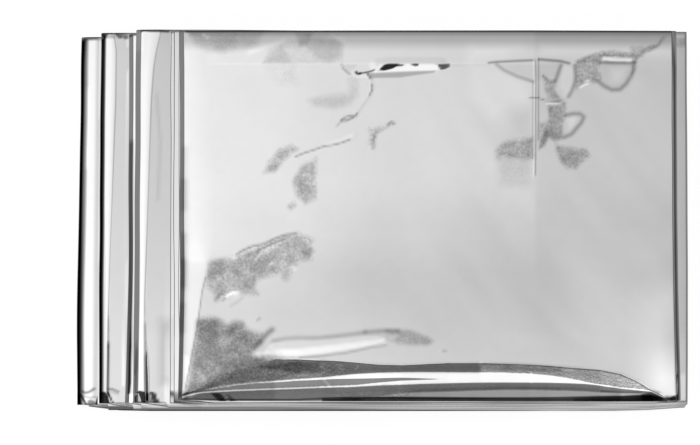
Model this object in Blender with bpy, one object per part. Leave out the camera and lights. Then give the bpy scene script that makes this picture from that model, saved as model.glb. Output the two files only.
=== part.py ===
"""Folded foil emergency blanket.

One rectangle of metallised film, pleated lengthways into a strip sixteen plies deep, and the
strip folded back and forth into a flat packet. The packet lies on its back: X runs along it,
Y across it from front to back, +Z is up, and the origin is under its middle. Metres.

The left folds step back like stairs, the right folds end nearly in line, and the strip's outer
end is turned under the top panel along the right edge.
"""

import math
from collections import namedtuple

import bmesh
import bpy

MM = 0.001

# Driving sizes of the strip and of the stack.
SHEET = 1.0 * MM  # one run of the strip, sixteen plies with the air between them
PITCH_MIDDLE = 1.14 * MM  # from one run to the next, along the packet's middle
PITCH_EDGE = 1.07 * MM  # the same at the two long edges, where the plies are pressed
INNER_END = -65.4 * MM  # where the strip's inner end lies, under everything
TURN_UNDER = 31.0 * MM  # how far the strip's outer end reaches back under the top panel

# Each fold from the bottom of the packet up. The strip leaves the bottom left, so the folds
# alternate right, left, right. reach is the fold's outermost X and skew how much further out
# it lies at the front than in the middle. swell is how far its loop stands up beyond the
# stack, and rise the length over which it does. front and back are the ends of the fold line.
# All in millimetres.
Fold = namedtuple("Fold", "reach skew swell rise front back")
FOLDS = (
    Fold(66.6, 0.1, 0.0, 0.0, -40.7, 41.0),
    Fold(-67.1, 0.3, 1.2, 2.6, -39.9, 41.2),
    Fold(67.4, 0.0, 0.0, 0.0, -41.2, 41.5),
    Fold(-62.5, 0.1, 0.9, 3.4, -40.6, 41.4),
    Fold(66.9, 0.2, 0.0, 0.0, -41.4, 41.5),
    Fold(-56.2, 0.0, 0.0, 0.0, -41.2, 41.4),
    Fold(67.3, 0.1, 0.0, 0.0, -41.5, 41.3),
    Fold(-54.7, 0.0, 0.7, 5.2, -41.0, 41.5),
    Fold(67.0, 0.0, 0.0, 0.0, -41.4, 41.5),
    Fold(-46.5, 0.1, 0.0, 0.0, -41.2, 41.1),
    Fold(67.3, 0.1, 0.0, 0.0, -41.4, 41.3),
    Fold(-45.5, 0.1, 0.0, 0.0, -41.1, 41.2),
    Fold(66.8, 0.0, 0.0, 0.0, -41.1, 41.1),
    Fold(-44.5, 0.2, 0.0, 0.0, -40.8, 41.2),
    Fold(67.2, 0.1, 0.0, 0.0, -40.9, 41.1),
    Fold(-43.8, 0.2, 0.0, 0.0, -40.2, 41.0),
    Fold(64.4, 0.3, 0.0, 0.0, -40.1, 41.0),
)
TOP = len(FOLDS) - 1  # the fold at the top panel's right end; one before it is at its left

# The top panel: a pillow of trapped air, in runs above the surface at its ends. The
# turned-under end lifts its right side, over the last stretch where the edges are pressed.
TOP_LEVEL_LEFT = 16.2
TOP_LEVEL_RIGHT = 17.0
CROWN = 1.0 * MM
PANEL_X = (-38, -28, -18, -10.5, -7.5, 3, 12.5, 15.5, 24, 32.4, 33.6, 34.8, 44, 49, 57)

# Its main creases. The outer ply's free edge runs along it, with a stretch puckered up into
# an open lip, and one short fold crosses it. Stations are the places across the packet, from
# -1 at the front to 1 at the back.
PLY_EDGE = 0.84
PLY_EDGE_DEPTH = 0.4 * MM
LIP = 0.82
LIP_HEIGHT = 0.7 * MM
LIP_X = (-9.0, 14.0)
CROSS_FOLD_X = 33.6
CROSS_FOLD_DEPTH = 0.35 * MM
CROSS_FOLD_FROM = 0.1
ACROSS = (
    -1.0, -0.965, -0.91, -0.84, -0.74, -0.56, -0.34, -0.1, 0.14,
    0.38, 0.6, 0.76, LIP, PLY_EDGE, 0.865, 0.93, 0.975, 1.0,
)
LOOP_STEPS = 6

Station = namedtuple("Station", "x skew level edge_level lift front back pillow")


def smooth(t):
    """Ease from 0 to 1 with level ends."""
    t = min(1.0, max(0.0, t))
    return t * t * (3.0 - 2.0 * t)


def levels_at(index):
    """The runs before and after a fold, counted up from the surface."""
    if index == TOP:
        return TOP_LEVEL_RIGHT, TOP_LEVEL_RIGHT - 1.0
    if index == TOP - 1:
        return index, TOP_LEVEL_LEFT
    return index, index + 1


def loop(index):
    """The stations round one fold, from the run before it to the run after it."""
    fold = FOLDS[index]
    before, after = levels_at(index)
    side = math.copysign(1.0, fold.reach)
    radius = (abs(after - before) * PITCH_MIDDLE + fold.swell * MM) / 2.0
    centre = fold.reach * MM - side * (radius + SHEET / 2.0)
    stations = []
    for step in range(LOOP_STEPS + 1):
        turn = math.pi * step / LOOP_STEPS
        raised = (1.0 - math.cos(turn)) / 2.0
        level = before + (after - before) * raised
        pillow = {TOP - 1: raised, TOP: 1.0 - raised}.get(index, 0.0)
        stations.append(
            Station(
                x=centre + side * radius * math.sin(turn),
                skew=side * fold.skew * MM,
                level=level,
                edge_level=level,
                lift=fold.swell * MM * raised,
                front=fold.front * MM,
                back=fold.back * MM,
                pillow=pillow,
            )
        )
    if fold.swell:
        last = stations[-1]
        for share in (0.3, 0.65, 1.0):
            x = centre - side * share * fold.rise * MM
            stations.append(last._replace(x=x, lift=last.lift * (1.0 - smooth(share))))
    return stations


def panel(start, end):
    """The top panel's stations between its left and its right fold."""
    stations = []
    lifted_from = FOLDS[TOP].reach * MM - 2.0 * TURN_UNDER
    for x in (place * MM for place in PANEL_X):
        t = (x - start.x) / (end.x - start.x)
        climb = TOP_LEVEL_RIGHT - TOP_LEVEL_LEFT
        stations.append(
            Station(
                x=x,
                skew=start.skew + (end.skew - start.skew) * t,
                level=TOP_LEVEL_LEFT + climb * smooth(1.5 * t),
                edge_level=TOP_LEVEL_LEFT + climb * smooth((x - lifted_from) / TURN_UNDER),
                lift=0.0,
                front=start.front + (end.front - start.front) * t,
                back=start.back + (end.back - start.back) * t,
                pillow=1.0,
            )
        )
    return stations


def strip_stations():
    """Every station along the strip, from its inner end to its turned-under outer end."""
    first = FOLDS[0]
    stations = [
        Station(INNER_END, 0.0, 0.0, 0.0, 0.0, first.front * MM, first.back * MM, 0.0)
    ]
    for index in range(len(FOLDS)):
        turn = loop(index)
        if index == TOP:
            stations += panel(stations[-1], turn[0])
        stations += turn
    stations.append(stations[-1]._replace(x=FOLDS[TOP].reach * MM - TURN_UNDER))
    return stations


def pillow_height(x, across):
    """How far trapped air and creases stand the top panel off its own level."""
    left, right = FOLDS[TOP - 1].reach * MM, FOLDS[TOP].reach * MM
    along = 2.0 * (x - left) / (right - left) - 1.0
    open_panel = max(0.0, 1.0 - along**8)
    z = CROWN * max(0.0, 1.0 - along**4) * (1.0 - across**8)
    if across == PLY_EDGE:
        z -= PLY_EDGE_DEPTH * open_panel
    if across in (LIP, PLY_EDGE) and LIP_X[0] * MM < x < LIP_X[1] * MM:
        z += LIP_HEIGHT
    if abs(x - CROSS_FOLD_X * MM) < 0.1 * MM and CROSS_FOLD_FROM < across < LIP:
        z -= CROSS_FOLD_DEPTH
    return z


def height(station, across):
    """The middle of the sheet above the surface, at a station and a place across the packet."""
    pressed = across**4
    pitch = PITCH_MIDDLE + (PITCH_EDGE - PITCH_MIDDLE) * pressed
    level = station.level + (station.edge_level - station.level) * across**8
    z = SHEET / 2.0 + level * pitch + station.lift * (1.0 - pressed)
    return z + station.pillow * pillow_height(station.x, across)


def foil_blanket():
    """The folded strip: a flat grid laid on its folds, then given the strip's thickness."""
    stations = strip_stations()
    mesh = bpy.data.meshes.new("foil_blanket")
    bm = bmesh.new()
    bmesh.ops.create_grid(
        bm, x_segments=len(stations) - 1, y_segments=len(ACROSS) - 1, size=0.5
    )
    for vert in bm.verts:
        station = stations[round((vert.co.x + 0.5) * (len(stations) - 1))]
        across = ACROSS[round((vert.co.y + 0.5) * (len(ACROSS) - 1))]
        half = (station.back - station.front) / 2.0
        middle = (station.back + station.front) / 2.0
        vert.co = (
            station.x - station.skew * across,
            middle + across * half,
            height(station, across),
        )
    bmesh.ops.recalc_face_normals(bm, faces=bm.faces)
    bm.to_mesh(mesh)
    bm.free()

    blanket = bpy.data.objects.new("foil_blanket", mesh)
    bpy.context.scene.collection.objects.link(blanket)
    wall = blanket.modifiers.new("plies", "SOLIDIFY")
    wall.thickness = SHEET
    wall.offset = 0.0
    wall.use_even_offset = True
    wall.use_quality_normals = True
    return blanket


def silver_foil():
    """Bright metallised film."""
    material = bpy.data.materials.new("silver_foil")
    material.use_nodes = True
    shader = material.node_tree.nodes["Principled BSDF"]
    shader.inputs["Base Color"].default_value = (0.80, 0.81, 0.82, 1.0)
    shader.inputs["Metallic"].default_value = 1.0
    shader.inputs["Roughness"].default_value = 0.18
    return material


def main():
    for old in list(bpy.data.objects):
        bpy.data.objects.remove(old, do_unlink=True)
    blanket = foil_blanket()
    blanket.data.materials.append(silver_foil())


main()
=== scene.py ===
# %% [markdown]
# # A folded foil blanket
# A rectangle of silver film is pleated lengthways into a strip sixteen plies deep, and the strip is folded
# back and forth into a flat packet. It could be made by simulating the folding, but film this thin in this
# many layers defeats a solver. So the folds are laid one by one: each sheet is one grid, rolled up into a
# closed outline and carried along the same folds as the solid it replaces.

# %% Open the frame
import math

import bmesh
import bpy
import numpy as np
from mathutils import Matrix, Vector, noise


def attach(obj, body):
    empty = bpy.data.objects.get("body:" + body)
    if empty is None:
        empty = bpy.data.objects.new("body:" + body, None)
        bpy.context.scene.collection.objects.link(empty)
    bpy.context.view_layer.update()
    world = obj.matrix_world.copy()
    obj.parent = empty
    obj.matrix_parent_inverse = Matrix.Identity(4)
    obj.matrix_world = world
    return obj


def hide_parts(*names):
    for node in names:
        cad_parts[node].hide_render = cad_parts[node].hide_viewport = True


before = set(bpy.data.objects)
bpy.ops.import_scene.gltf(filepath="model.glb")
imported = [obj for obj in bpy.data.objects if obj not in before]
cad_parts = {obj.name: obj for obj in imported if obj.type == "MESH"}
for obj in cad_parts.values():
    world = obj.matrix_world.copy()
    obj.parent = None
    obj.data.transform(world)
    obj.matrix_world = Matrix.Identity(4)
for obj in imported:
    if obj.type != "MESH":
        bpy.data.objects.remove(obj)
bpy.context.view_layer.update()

MM = 0.001

# %% [markdown]
# ## Small tools
# Everything is worked out in millimetres and turned into metres when a mesh is written.
# Blender's modifiers could bend a flat grid, but a short table of places is easier to change
# one fold at a time. So `along` reads such a table at any place between its rows, `smooth`
# eases between two levels, `ripple` reads the same gentle noise on every run, and `bend` is a
# ramp with a rounded foot, which is how a soft crease looks end on.

# %% Small tools


def smooth(t):
    """Ease from 0 to 1 with level ends."""
    t = np.clip(t, 0.0, 1.0)
    return t * t * (3.0 - 2.0 * t)


def ripple(x, y, size, layer):
    """Even noise from about -1 to 1 over places in mm, with bumps about size across."""
    x, y = np.broadcast_arrays(np.asarray(x, float), np.asarray(y, float))
    flat = zip(np.ravel(x / size), np.ravel(y / size))
    heights = [noise.noise(Vector((a, b, layer))) for a, b in flat]
    return 1.6 * np.array(heights).reshape(np.shape(x))


def along(places, table, column=1):
    """One column of a table, read at places between its rows."""
    return np.interp(places, [row[0] for row in table], [row[column] for row in table])


def slope(degrees):
    """Rise over run."""
    return math.tan(math.radians(degrees))


def bend(distance, soft):
    """A ramp that starts at 0 with a rounded foot: its height is the distance beyond it."""
    foot = np.clip(distance + soft, 0.0, 2.0 * soft)
    return np.where(distance > soft, distance, foot**2 / (4.0 * soft))


print("a foot 1 mm soft is", float(bend(0.0, 1.0)), "mm high at the crease")

# %% [markdown]
# ## The folds
# The strip turns back at one end of the packet and then at the other. The folds at the left
# are stepped like a stair and those at the right lie above one another, and no two are alike.
# They could all come from one curve, but then the steps would look machined, so each fold has
# a row of its own, from the bottom of the packet up, in the order the strip takes them.
#
# reach is the outermost X of the fold, and skew is how much further out it lies at the front.
# lean is how steep its outer face is in degrees, face is how wide that face is and shoulder
# the radius above it. With no lean the fold is plainly round. front and back are the Y of its
# two ends, and flare is how far the front end spreads.

# %% The table of folds
FOLDS = (
    # reach, skew, lean, face, shoulder, front, back, flare
    (66.6, 0.1, 0, 0, 0, -40.6, 41.0, 0.0),
    (-67.78, 0.5, 34, 1.25, 3.0, -40.3, 42.1, -0.35),
    (67.4, 0.0, 0, 0, 0, -41.0, 41.5, 0.0),
    (-62.86, 0.07, 34, 0.95, 1.6, -40.1, 42.7, 0.0),
    (66.9, 0.2, 0, 0, 0, -41.1, 41.5, 0.0),
    (-56.35, -0.06, 38.5, 0.95, 0.4, -40.3, 42.1, 0.75),
    (67.3, 0.1, 0, 0, 0, -40.9, 41.3, 0.0),
    (-54.87, 0.15, 41, 1.2, 0.2, -40.2, 42.8, 0.05),
    (67.0, 0.0, 0, 0, 0, -40.9, 41.7, 0.0),
    (-46.9, 0.05, 60, 0.16, 0.14, -40.4, 42.1, 0.0),
    (67.3, 0.1, 0, 0, 0, -40.7, 41.6, 0.0),
    (-46.0, -0.05, 60, 0.16, 0.14, -40.4, 42.0, 0.0),
    (66.8, 0.0, 0, 0, 0, -40.7, 41.5, 0.0),
    (-44.8, -0.1, 60, 0.14, 0.12, -40.5, 41.7, 0.0),
    (67.2, -0.08, 44, 0.5, 0.3, -40.5, 41.4, 0.0),
    (-44.5, -0.15, 40, 1.0, 0.4, -40.2, 41.3, 0.5),
    (64.8, 0.0, 31.5, 0.66, 0.25, -40.35, 41.3, 0.5),
)
REACH, SKEW, LEAN, FACE, SHOULDER, FRONT, BACK, FLARE = range(8)
TOP = len(FOLDS) - 1  # the fold at the top panel's right end; the one before is at its left
SHEET = 1.0  # thickness of a run
RUN_FRONTS = (-41.6, -41.45, -41.5, -41.35, -41.45, -41.3, -41.4, -41.2, -41.3, -41.1, -41.25,
              -41.0, -41.1, -40.9, -40.95, -40.8, -40.35, -40.35)  # Y of each run's front edge
INNER_END = -65.4  # X where the strip starts, at the bottom of the packet
TURN_UNDER = 31.0  # how much of its other end is turned under the top panel
print(len(FOLDS), "folds,", sum(row[LEAN] > 0 for row in FOLDS), "of them leaning")

# %% [markdown]
# ## How high each run lies
# On the right the runs are evenly stacked. On the left they part where a loop needs room for
# its nose and lie close elsewhere, which is what makes the steps different heights. A real
# stack settles by itself. Here one gap for each pair of runs does the same and stays editable.

# %% Heights of the runs
PITCH_RIGHT = 1.14
GAPS_LEFT = (1.1, 1.6, 1.1, 1.5, 1.1, 1.2, 1.1, 1.5, 1.09, 1.05, 1.09, 1.05, 1.09, 1.05, 1.09, 1.2)
LEFT_HEIGHTS = np.concatenate([[0.0], np.cumsum(GAPS_LEFT), [sum(GAPS_LEFT)]])
RIGHT_HEIGHTS = PITCH_RIGHT * np.arange(18)
PANEL_LEVEL = 17  # over the turned-under end on the right, straight on run 15 on the left
END_X = 67.0


def height_of(level, x):
    """How high the middle of a run lies at X, before it is pressed at the edges."""
    share = np.clip((x + END_X) / (2.0 * END_X), 0.0, 1.0)
    left, right = LEFT_HEIGHTS[level], RIGHT_HEIGHTS[level]
    return SHEET / 2.0 + left + (right - left) * share


print("the panel lies", [round(float(height_of(PANEL_LEVEL, x)), 1) for x in (-END_X, END_X)], "mm up")

# %% [markdown]
# ## The treads
# Seen from the left the packet is a flight of rounded steps. On each tread the film climbs
# from the rounded nose to a crease, then sinks gently back to the stack. Bump could hint at
# the crease, but from low down a tread has to have a real edge. One table gives how steeply
# each tread climbs and how high its crease stands, and the other how the crease runs from
# the front of the packet to the back.

# %% The tables of treads
TREADS = {
    # fold: (slope in degrees at the nose, slope at the crease, height of the crease)
    1: (6.0, -0.5, 0.0),
    3: (6.5, 0.0, 0.12),
    5: (6.0, 3.0, 0.1),
    7: (7.5, 0.5, 0.2),
}
CREASE_PLACES = {
    # fold: (Y, X of the crease, width of the sharp fall just past it)
    1: ((-45.0, -63.23, 0.0), (45.0, -62.56, 0.0)),
    3: ((-38.44, -61.08, 0.35), (-32.86, -61.02, 0.3), (-17.21, -60.84, 0.05), (-3.80, -60.46, 0.1),
     (5.14, -60.17, 0.12), (19.89, -59.77, 0.2), (27.49, -59.52, 0.22), (38.67, -59.41, 0.15),
     (41.79, -59.86, 0.1)),
    5: ((-45.0, -54.19, 0.0), (45.0, -53.74, 0.0)),
    7: ((-38.68, -52.48, 0.9), (-33.57, -52.57, 0.8), (-24.89, -52.61, 0.25), (-17.55, -52.61, 0.12),
     (4.70, -51.95, 0.12), (19.38, -51.55, 0.15), (26.94, -51.35, 0.2), (34.29, -50.84, 0.2),
     (38.07, -50.22, 0.2), (41.85, -49.33, 0.15)),
}
FALLS = ((-30.0, slope(23.5)), (0.0, slope(9.0)))  # Y, slope of that sharp fall
TREAD_REACH = {1: 5.0, 3: 6.4, 5: 2.6, 7: 7.0}  # how far back a tread shows
NEAREST = 0.3  # the crease stays this far from both edges of its tread
# where a tread has stations: 0 is its nose, 1 its crease and 2 where it goes under the next
TREAD_STEPS = (0.06, 0.12, 0.18, 0.24, 0.3, 0.37, 0.44, 0.52, 0.6, 0.7, 0.8, 0.9, 0.96, 1.0, 1.02,
               1.04, 1.07, 1.1, 1.15, 1.22, 1.3, 1.4, 1.5, 1.6, 1.7, 1.8, 1.9, 2.0)


def crease_at(fold, x, y):
    """How far behind a fold's line at X the crease of its tread runs, for places Y."""
    found = along(y, CREASE_PLACES[fold]) - x
    return np.clip(found, NEAREST, TREAD_REACH[fold] - NEAREST)


def tread_height(fold, y, crease, inboard):
    """How far a tread stands off its own level, so far behind the nose."""
    first, last, height = TREADS[fold]
    first, last = slope(first), slope(last)
    before = np.minimum(inboard, crease)
    climbing = first * (crease - before) + (last - first) * (crease**2 - before**2) / (2.0 * crease)
    sinking = height * np.clip((inboard - crease) / (TREAD_REACH[fold] - crease), 0.0, 1.0)
    drop = along(y, FALLS) * np.clip(inboard - crease, 0.0, along(y, CREASE_PLACES[fold], 2))
    return height - climbing - sinking - drop


print("treads on folds", list(TREADS))

# %% [markdown]
# ## Stations along the strip
# A station is a place along the strip: where it lies, which two runs it is between and how
# far up from one to the other. A curve could carry the sheet as well, but stations can lean,
# flare and step back at each fold. A run between two folds is straight, so it needs few.

# %% Stations


class Station:
    """A place along the strip.

    x is where it lies in mm, low and high are the runs it is between, fold is the nearest
    fold and raised how far up it is from low to high. tread is how far along a tread it lies
    and pillow how much of the panel's relief it takes. In a loop, outer and inner say where
    the two faces lie off the middle.
    """

    def __init__(self, x, low, high, fold, raised=0.0, tread=None, pillow=0.0, outer=None, inner=None):
        self.x, self.low, self.high, self.fold = x, low, high, fold
        self.raised, self.tread, self.pillow = raised, tread, pillow
        self.outer, self.inner = outer, inner


def run(start, end, spacing):
    """Stations on the straight between two loops."""
    first = start.x + (TREAD_REACH[start.fold] if start.tread else 0.0)
    count = max(1, round(abs(end.x - first) / spacing))
    found = []
    for step in range(1, count):
        t = step / count
        level = start.high if start.raised else start.low
        near = start.fold if t < 0.5 else end.fold
        found.append(Station(first + (end.x - first) * t, level, level, near))
    return found


lowest = run(Station(INNER_END, 0, 0, 0), Station(FOLDS[0][REACH], 0, 0, 0), 7.0)
print("stations on the lowest run:", len(lowest))

# %% [markdown]
# ## Loops
# Where the strip turns back it makes a loop. It could be a bevelled curve, but the folds at
# the left of the real packet are knocked flat above: end on, each is a blunt V with a
# shoulder, a straight face and a tight tip. So a loop is drawn end on as a few points, and
# each of them becomes a station.

# %% The outside of a loop
TIP = 0.12  # radius of a leaning fold's tip
TIP_ROOM = 0.06  # how far the tip stands out past the face
FACE_PARTS = (0.12, 0.5, 0.88)


def rounded_corner(corner, radius, first, last, parts):
    """Points round a corner, from one facing to the next, both in radians from upright."""
    back = radius * math.tan((last - first) / 2.0)
    out = corner[0] - back * math.cos(first) - radius * math.sin(first)
    up = corner[1] + back * math.sin(first) - radius * math.cos(first)
    turns = np.linspace(first, last, parts)
    return [(out + radius * math.sin(t), up + radius * math.cos(t)) for t in turns]


def nose_shape(half_height, fold, tread_slope):
    """The outside of a loop seen end on, from its lower run to its upper, as (out, up)."""
    high = half_height + SHEET / 2.0
    if not fold[LEAN]:
        turns = np.linspace(-math.pi / 2.0, math.pi / 2.0, 11)
        return [(high * math.cos(t), high * math.sin(t)) for t in turns]
    lean = math.radians(fold[LEAN])
    level = math.radians(tread_slope)
    back = fold[SHOULDER] * math.tan((lean - level) / 2.0)
    widest = fold[FACE] + back * math.cos(level) + TIP_ROOM
    corner = (widest - fold[FACE], high - back * math.sin(level))
    shoulder = rounded_corner(corner, fold[SHOULDER], level, lean, 7)
    low = corner[1] - fold[FACE] * math.tan(lean)
    tip = rounded_corner((widest, low), TIP, lean, math.pi / 2.0, 4)
    face = [
        tuple(a + (b - a) * part for a, b in zip(shoulder[-1], tip[0])) for part in FACE_PARTS
    ]
    upper = [(0.0, high)] + shoulder + face + tip + [(widest, 0.0)]
    lower = [(out, -up) for out, up in upper[:-1:2]]
    return lower + upper[::-1]


print("a round nose has", len(nose_shape(1.0, FOLDS[0], 0.0)), "points, a leaning one",
      len(nose_shape(1.0, FOLDS[1], 0.0)))

# %% The stations of a loop
NOSE_DEPTH = 1.4  # about how deep a nose is, before its shape is known
NARROWEST, SHORTEST = 0.15, 0.02  # what is left of a tight loop's inside, as a share and in mm
CENTRES = {}


def loop(index):
    """The stations round one fold, and those of its tread if it has one."""
    fold = FOLDS[index]
    side = math.copysign(1.0, fold[REACH])
    low, high = {TOP - 1: (TOP - 1, PANEL_LEVEL), TOP: (PANEL_LEVEL, TOP)}.get(index, (index, index + 1))
    heights = LEFT_HEIGHTS if side < 0 else RIGHT_HEIGHTS
    rise = abs(heights[high] - heights[low])
    if index in TREADS:
        crease = crease_at(index, fold[REACH] + NOSE_DEPTH, 0.0)
        rise += float(tread_height(index, 0.0, crease, 0.0))
    outside = nose_shape(rise / 2.0, fold, TREADS[index][0] if index in TREADS else 0.0)
    widest = max(out for out, up in outside)
    tallest = outside[-1][1]
    narrow = max(widest - SHEET, NARROWEST * widest) / widest
    short = max(tallest - SHEET, SHORTEST) / tallest
    CENTRES[index] = centre = fold[REACH] - side * widest
    turned = math.copysign(1.0, heights[high] - heights[low])
    found = []
    for out, up in outside:
        within = (out * narrow, up * short)
        middle = ((out + within[0]) / 2.0, (up + within[1]) / 2.0)
        share = (middle[1] / (tallest - SHEET / 2.0) + 1.0) / 2.0
        pillow = {TOP - 1: share, TOP: 1.0 - share}.get(index, 0.0)
        outer = (side * (out - middle[0]), turned * (up - middle[1]))
        inner = (side * (within[0] - middle[0]), turned * (within[1] - middle[1]))
        place = centre + side * middle[0]
        found.append(Station(place, low, high, index, share, 0.0, pillow, outer, inner))
    if index in TREADS:
        found += [Station(centre, low, high, index, 1.0, part) for part in TREAD_STEPS]
    return found


print("stations on the lowest step:", len(loop(1)))

# %% [markdown]
# ## From stations to a sheet
# The middle of the sheet is known at every station and at every place across the packet. A
# closed outline, given as places across and distances off the middle, is carried along it.
# It could be a Solidify modifier on a plain grid, but then the long edges would be square,
# and here they have to show the plies.

# %% The middle of the sheet
WAVE, WAVE_LENGTH = 0.1, 16.0  # how far a fold line wanders, in mm, and over what length
HALF_WIDTH = 41.0
FRONT_SQUEEZE, BACK_PRESS = 0.075, 0.08  # share pressed down at the front, and part of it at the back
FLARE_FROM = 0.3  # how far to the front a fold starts to flare
MEETS_FROM, MEETS_OVER = 1.5, 9.0  # mm inboard of a fold where its edges turn into the run's


def pressed_at(across):
    """How hard the packet is pressed: most at the front edge, a little at the back."""
    return np.where(across < 0, np.abs(across) ** 2.4, BACK_PRESS * np.abs(across) ** 12)


def middle_of(stations, across):
    """X, Y and Z of the middle of the sheet: one row a station, one column a place across."""
    x, y, z = [np.zeros((len(stations), len(across))) for axis in range(3)]
    for i, station in enumerate(stations):
        fold = FOLDS[station.fold]
        side = math.copysign(1.0, fold[REACH])
        on_tread = station.fold in TREADS and station.tread is not None
        x[i] = station.x - side * fold[SKEW] * across
        x[i] += WAVE * ripple(across * HALF_WIDTH, 0.0, WAVE_LENGTH, station.fold + 3.5)
        x[i] += side * fold[FLARE] * np.clip((-across - FLARE_FROM) / 0.7, 0.0, 1.0) ** 1.5
        if on_tread:
            across_y = (fold[BACK] + fold[FRONT]) / 2.0 + across * (fold[BACK] - fold[FRONT]) / 2.0
            base = x[i] - (station.x - CENTRES[station.fold])
            crease = crease_at(station.fold, base, across_y)
            past = (station.tread - 1.0) * (TREAD_REACH[station.fold] - crease)
            inboard = np.where(station.tread < 1.0, station.tread * crease, crease + past)
            x[i] -= side * inboard
        low, high = height_of(station.low, x[i]), height_of(station.high, x[i])
        z[i] = low + (high - low) * station.raised
        if on_tread:
            z[i] += tread_height(station.fold, across_y, crease, inboard) * station.raised
        z[i] *= 1.0 - FRONT_SQUEEZE * pressed_at(across) * (1.0 - station.pillow)
        inner = float(smooth((abs(fold[REACH]) - side * station.x - MEETS_FROM) / MEETS_OVER))
        run_front = RUN_FRONTS[station.low if station.raised < 0.5 else station.high]
        if station.low == 0 and station.raised < 0.5:
            inner *= float(smooth((station.x - INNER_END) / MEETS_OVER))
        front = fold[FRONT] + (run_front - fold[FRONT]) * inner
        y[i] = (fold[BACK] + front) / 2.0 + across * (fold[BACK] - front) / 2.0
    ease_ends(stations, y)
    return x, y, z


def ease_ends(stations, y, reach=9):
    """Ease the long edges from one fold's ends to the next, over the middle of a run."""
    changes = [i for i in range(1, len(stations)) if stations[i].fold != stations[i - 1].fold]
    for i in changes:
        first, last = y[i - 1].copy(), y[i].copy()
        for j in range(max(0, i - reach), min(len(stations), i + reach)):
            if stations[j].outer is None:
                y[j] = first + (last - first) * float(smooth((j - i + reach) / (2.0 * reach)))


print("pressed at the front edge by", round(100 * FRONT_SQUEEZE * float(pressed_at(-1.0)), 1), "%")

# %% Carry an outline along the strip


def carried(stations, across, off, shift, relief):
    """The outline's points along the strip, as an array of stations by points by XYZ.

    across, off and shift have one value for each point of the outline: its place across the
    packet from -1 to 1, its distance off the middle, and how far it stands out in Y. relief
    gives a further height.
    """
    x, y, z = middle_of(stations, across)
    z = z + relief(stations, x, y)
    run_x, run_z = np.gradient(x, axis=0), np.gradient(z, axis=0)
    length = np.hypot(run_x, run_z) + 1e-9
    thin = 1.0 - FRONT_SQUEEZE * pressed_at(across)
    px = x - off * thin * run_z / length
    pz = z + off * thin * run_x / length
    for i, station in enumerate(stations):
        if station.outer is not None:
            inside = off > 0 if FOLDS[station.fold][REACH] > 0 else off < 0
            part = np.abs(off) * thin / (SHEET / 2.0)
            px[i] = x[i] + part * np.where(inside, station.inner[0], station.outer[0])
            pz[i] = z[i] + part * np.where(inside, station.inner[1], station.outer[1])
    return np.stack([px, y + shift, pz], axis=-1)


lowest = [Station(x, 0, 0, 0) for x in (0.0, 5.0, 10.0)]
top_face = carried(lowest, np.zeros(1), np.full(1, SHEET / 2.0), np.zeros(1), lambda rows, x, y: 0.0 * x)
print("the lowest run's top is", round(float(top_face[1, 0, 2]), 2), "mm up")

# %% Make a closed sheet
WELD = 1e-7  # metres


def made(name, bm):
    """A bmesh as an object in the scene."""
    mesh = bpy.data.meshes.new(name)
    bm.to_mesh(mesh)
    bm.free()
    piece = bpy.data.objects.new(name, mesh)
    bpy.context.scene.collection.objects.link(piece)
    return piece


def closed_sheet(name, points):
    """A closed mesh from an outline carried along stations: a grid, rolled up and capped."""
    along_count, round_count = points.shape[:2]
    bm = bmesh.new()
    bmesh.ops.create_grid(bm, x_segments=round_count, y_segments=along_count - 1, size=0.5)
    for vert in bm.verts:
        j = round((vert.co.x + 0.5) * round_count) % round_count
        i = round((vert.co.y + 0.5) * (along_count - 1))
        vert.co = Vector(points[i, j]) * MM
    seam = [v for v in bm.verts if any(e.is_boundary for e in v.link_edges)]
    bmesh.ops.remove_doubles(bm, verts=seam, dist=WELD)
    ends = [e for e in bm.edges if e.is_boundary]
    bmesh.ops.holes_fill(bm, edges=ends, sides=0)
    bmesh.ops.recalc_face_normals(bm, faces=bm.faces)
    piece = made(name, bm)
    mesh = piece.data
    mesh.polygons.foreach_set("use_smooth", [True] * len(mesh.polygons))
    triangles = sum(len(p.vertices) - 2 for p in mesh.polygons)
    print(name, len(mesh.vertices), "points", triangles, "triangles")
    return piece


print("a sheet's seam is welded within", WELD, "m")

# %% [markdown]
# ## The outline of a run
# The strip is sixteen plies of film. Its two long edges are where the film was pleated, so
# each shows as a stack of thin rounded leaves. Modelling all sixteen would take four times
# the faces for no more to see, so four leaves a run are modelled, with a slit between each.

# %% The outline of a run
LEAVES = 4
LEAF_DEPTH = 1.1
LEAF_ROUND = 0.2
LEAF_PARTS = (0.15, 0.5, 0.85)


def leaves(side):
    """One long edge as (across, off, shift), from the top at the back, 1, or the front, -1."""
    leaf = SHEET / LEAVES
    points = []
    for k in range(LEAVES):
        for t in LEAF_PARTS:
            rounded = side * (math.sin(math.pi * t) - 1.0) * LEAF_ROUND
            points.append((side, SHEET / 2.0 - (k + t) * leaf, rounded))
        if k < LEAVES - 1:
            points.append((side, SHEET / 2.0 - (k + 1) * leaf, -side * LEAF_DEPTH))
    return points


def run_outline(places_top, places_bottom):
    """across, off and shift for a run: over the top, down the back leaves, under, and up."""
    points = [(y / HALF_WIDTH, SHEET / 2.0, 0.0) for y in places_top]
    points += leaves(1.0)
    points += [(y / HALF_WIDTH, -SHEET / 2.0, 0.0) for y in places_bottom]
    points += reversed(leaves(-1.0))
    return [np.array(values) for values in zip(*points)]


def spaced(*stretches):
    """Places along a line: each stretch is (start, end, spacing)."""
    found = []
    for start, end, spacing in stretches:
        count = max(1, round(abs(end - start) / spacing))
        found += list(np.linspace(start, end, count, endpoint=False))
    found.append(stretches[-1][1])
    return np.array(found)


print("points down one edge of a run:", len(leaves(1.0)))

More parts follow.
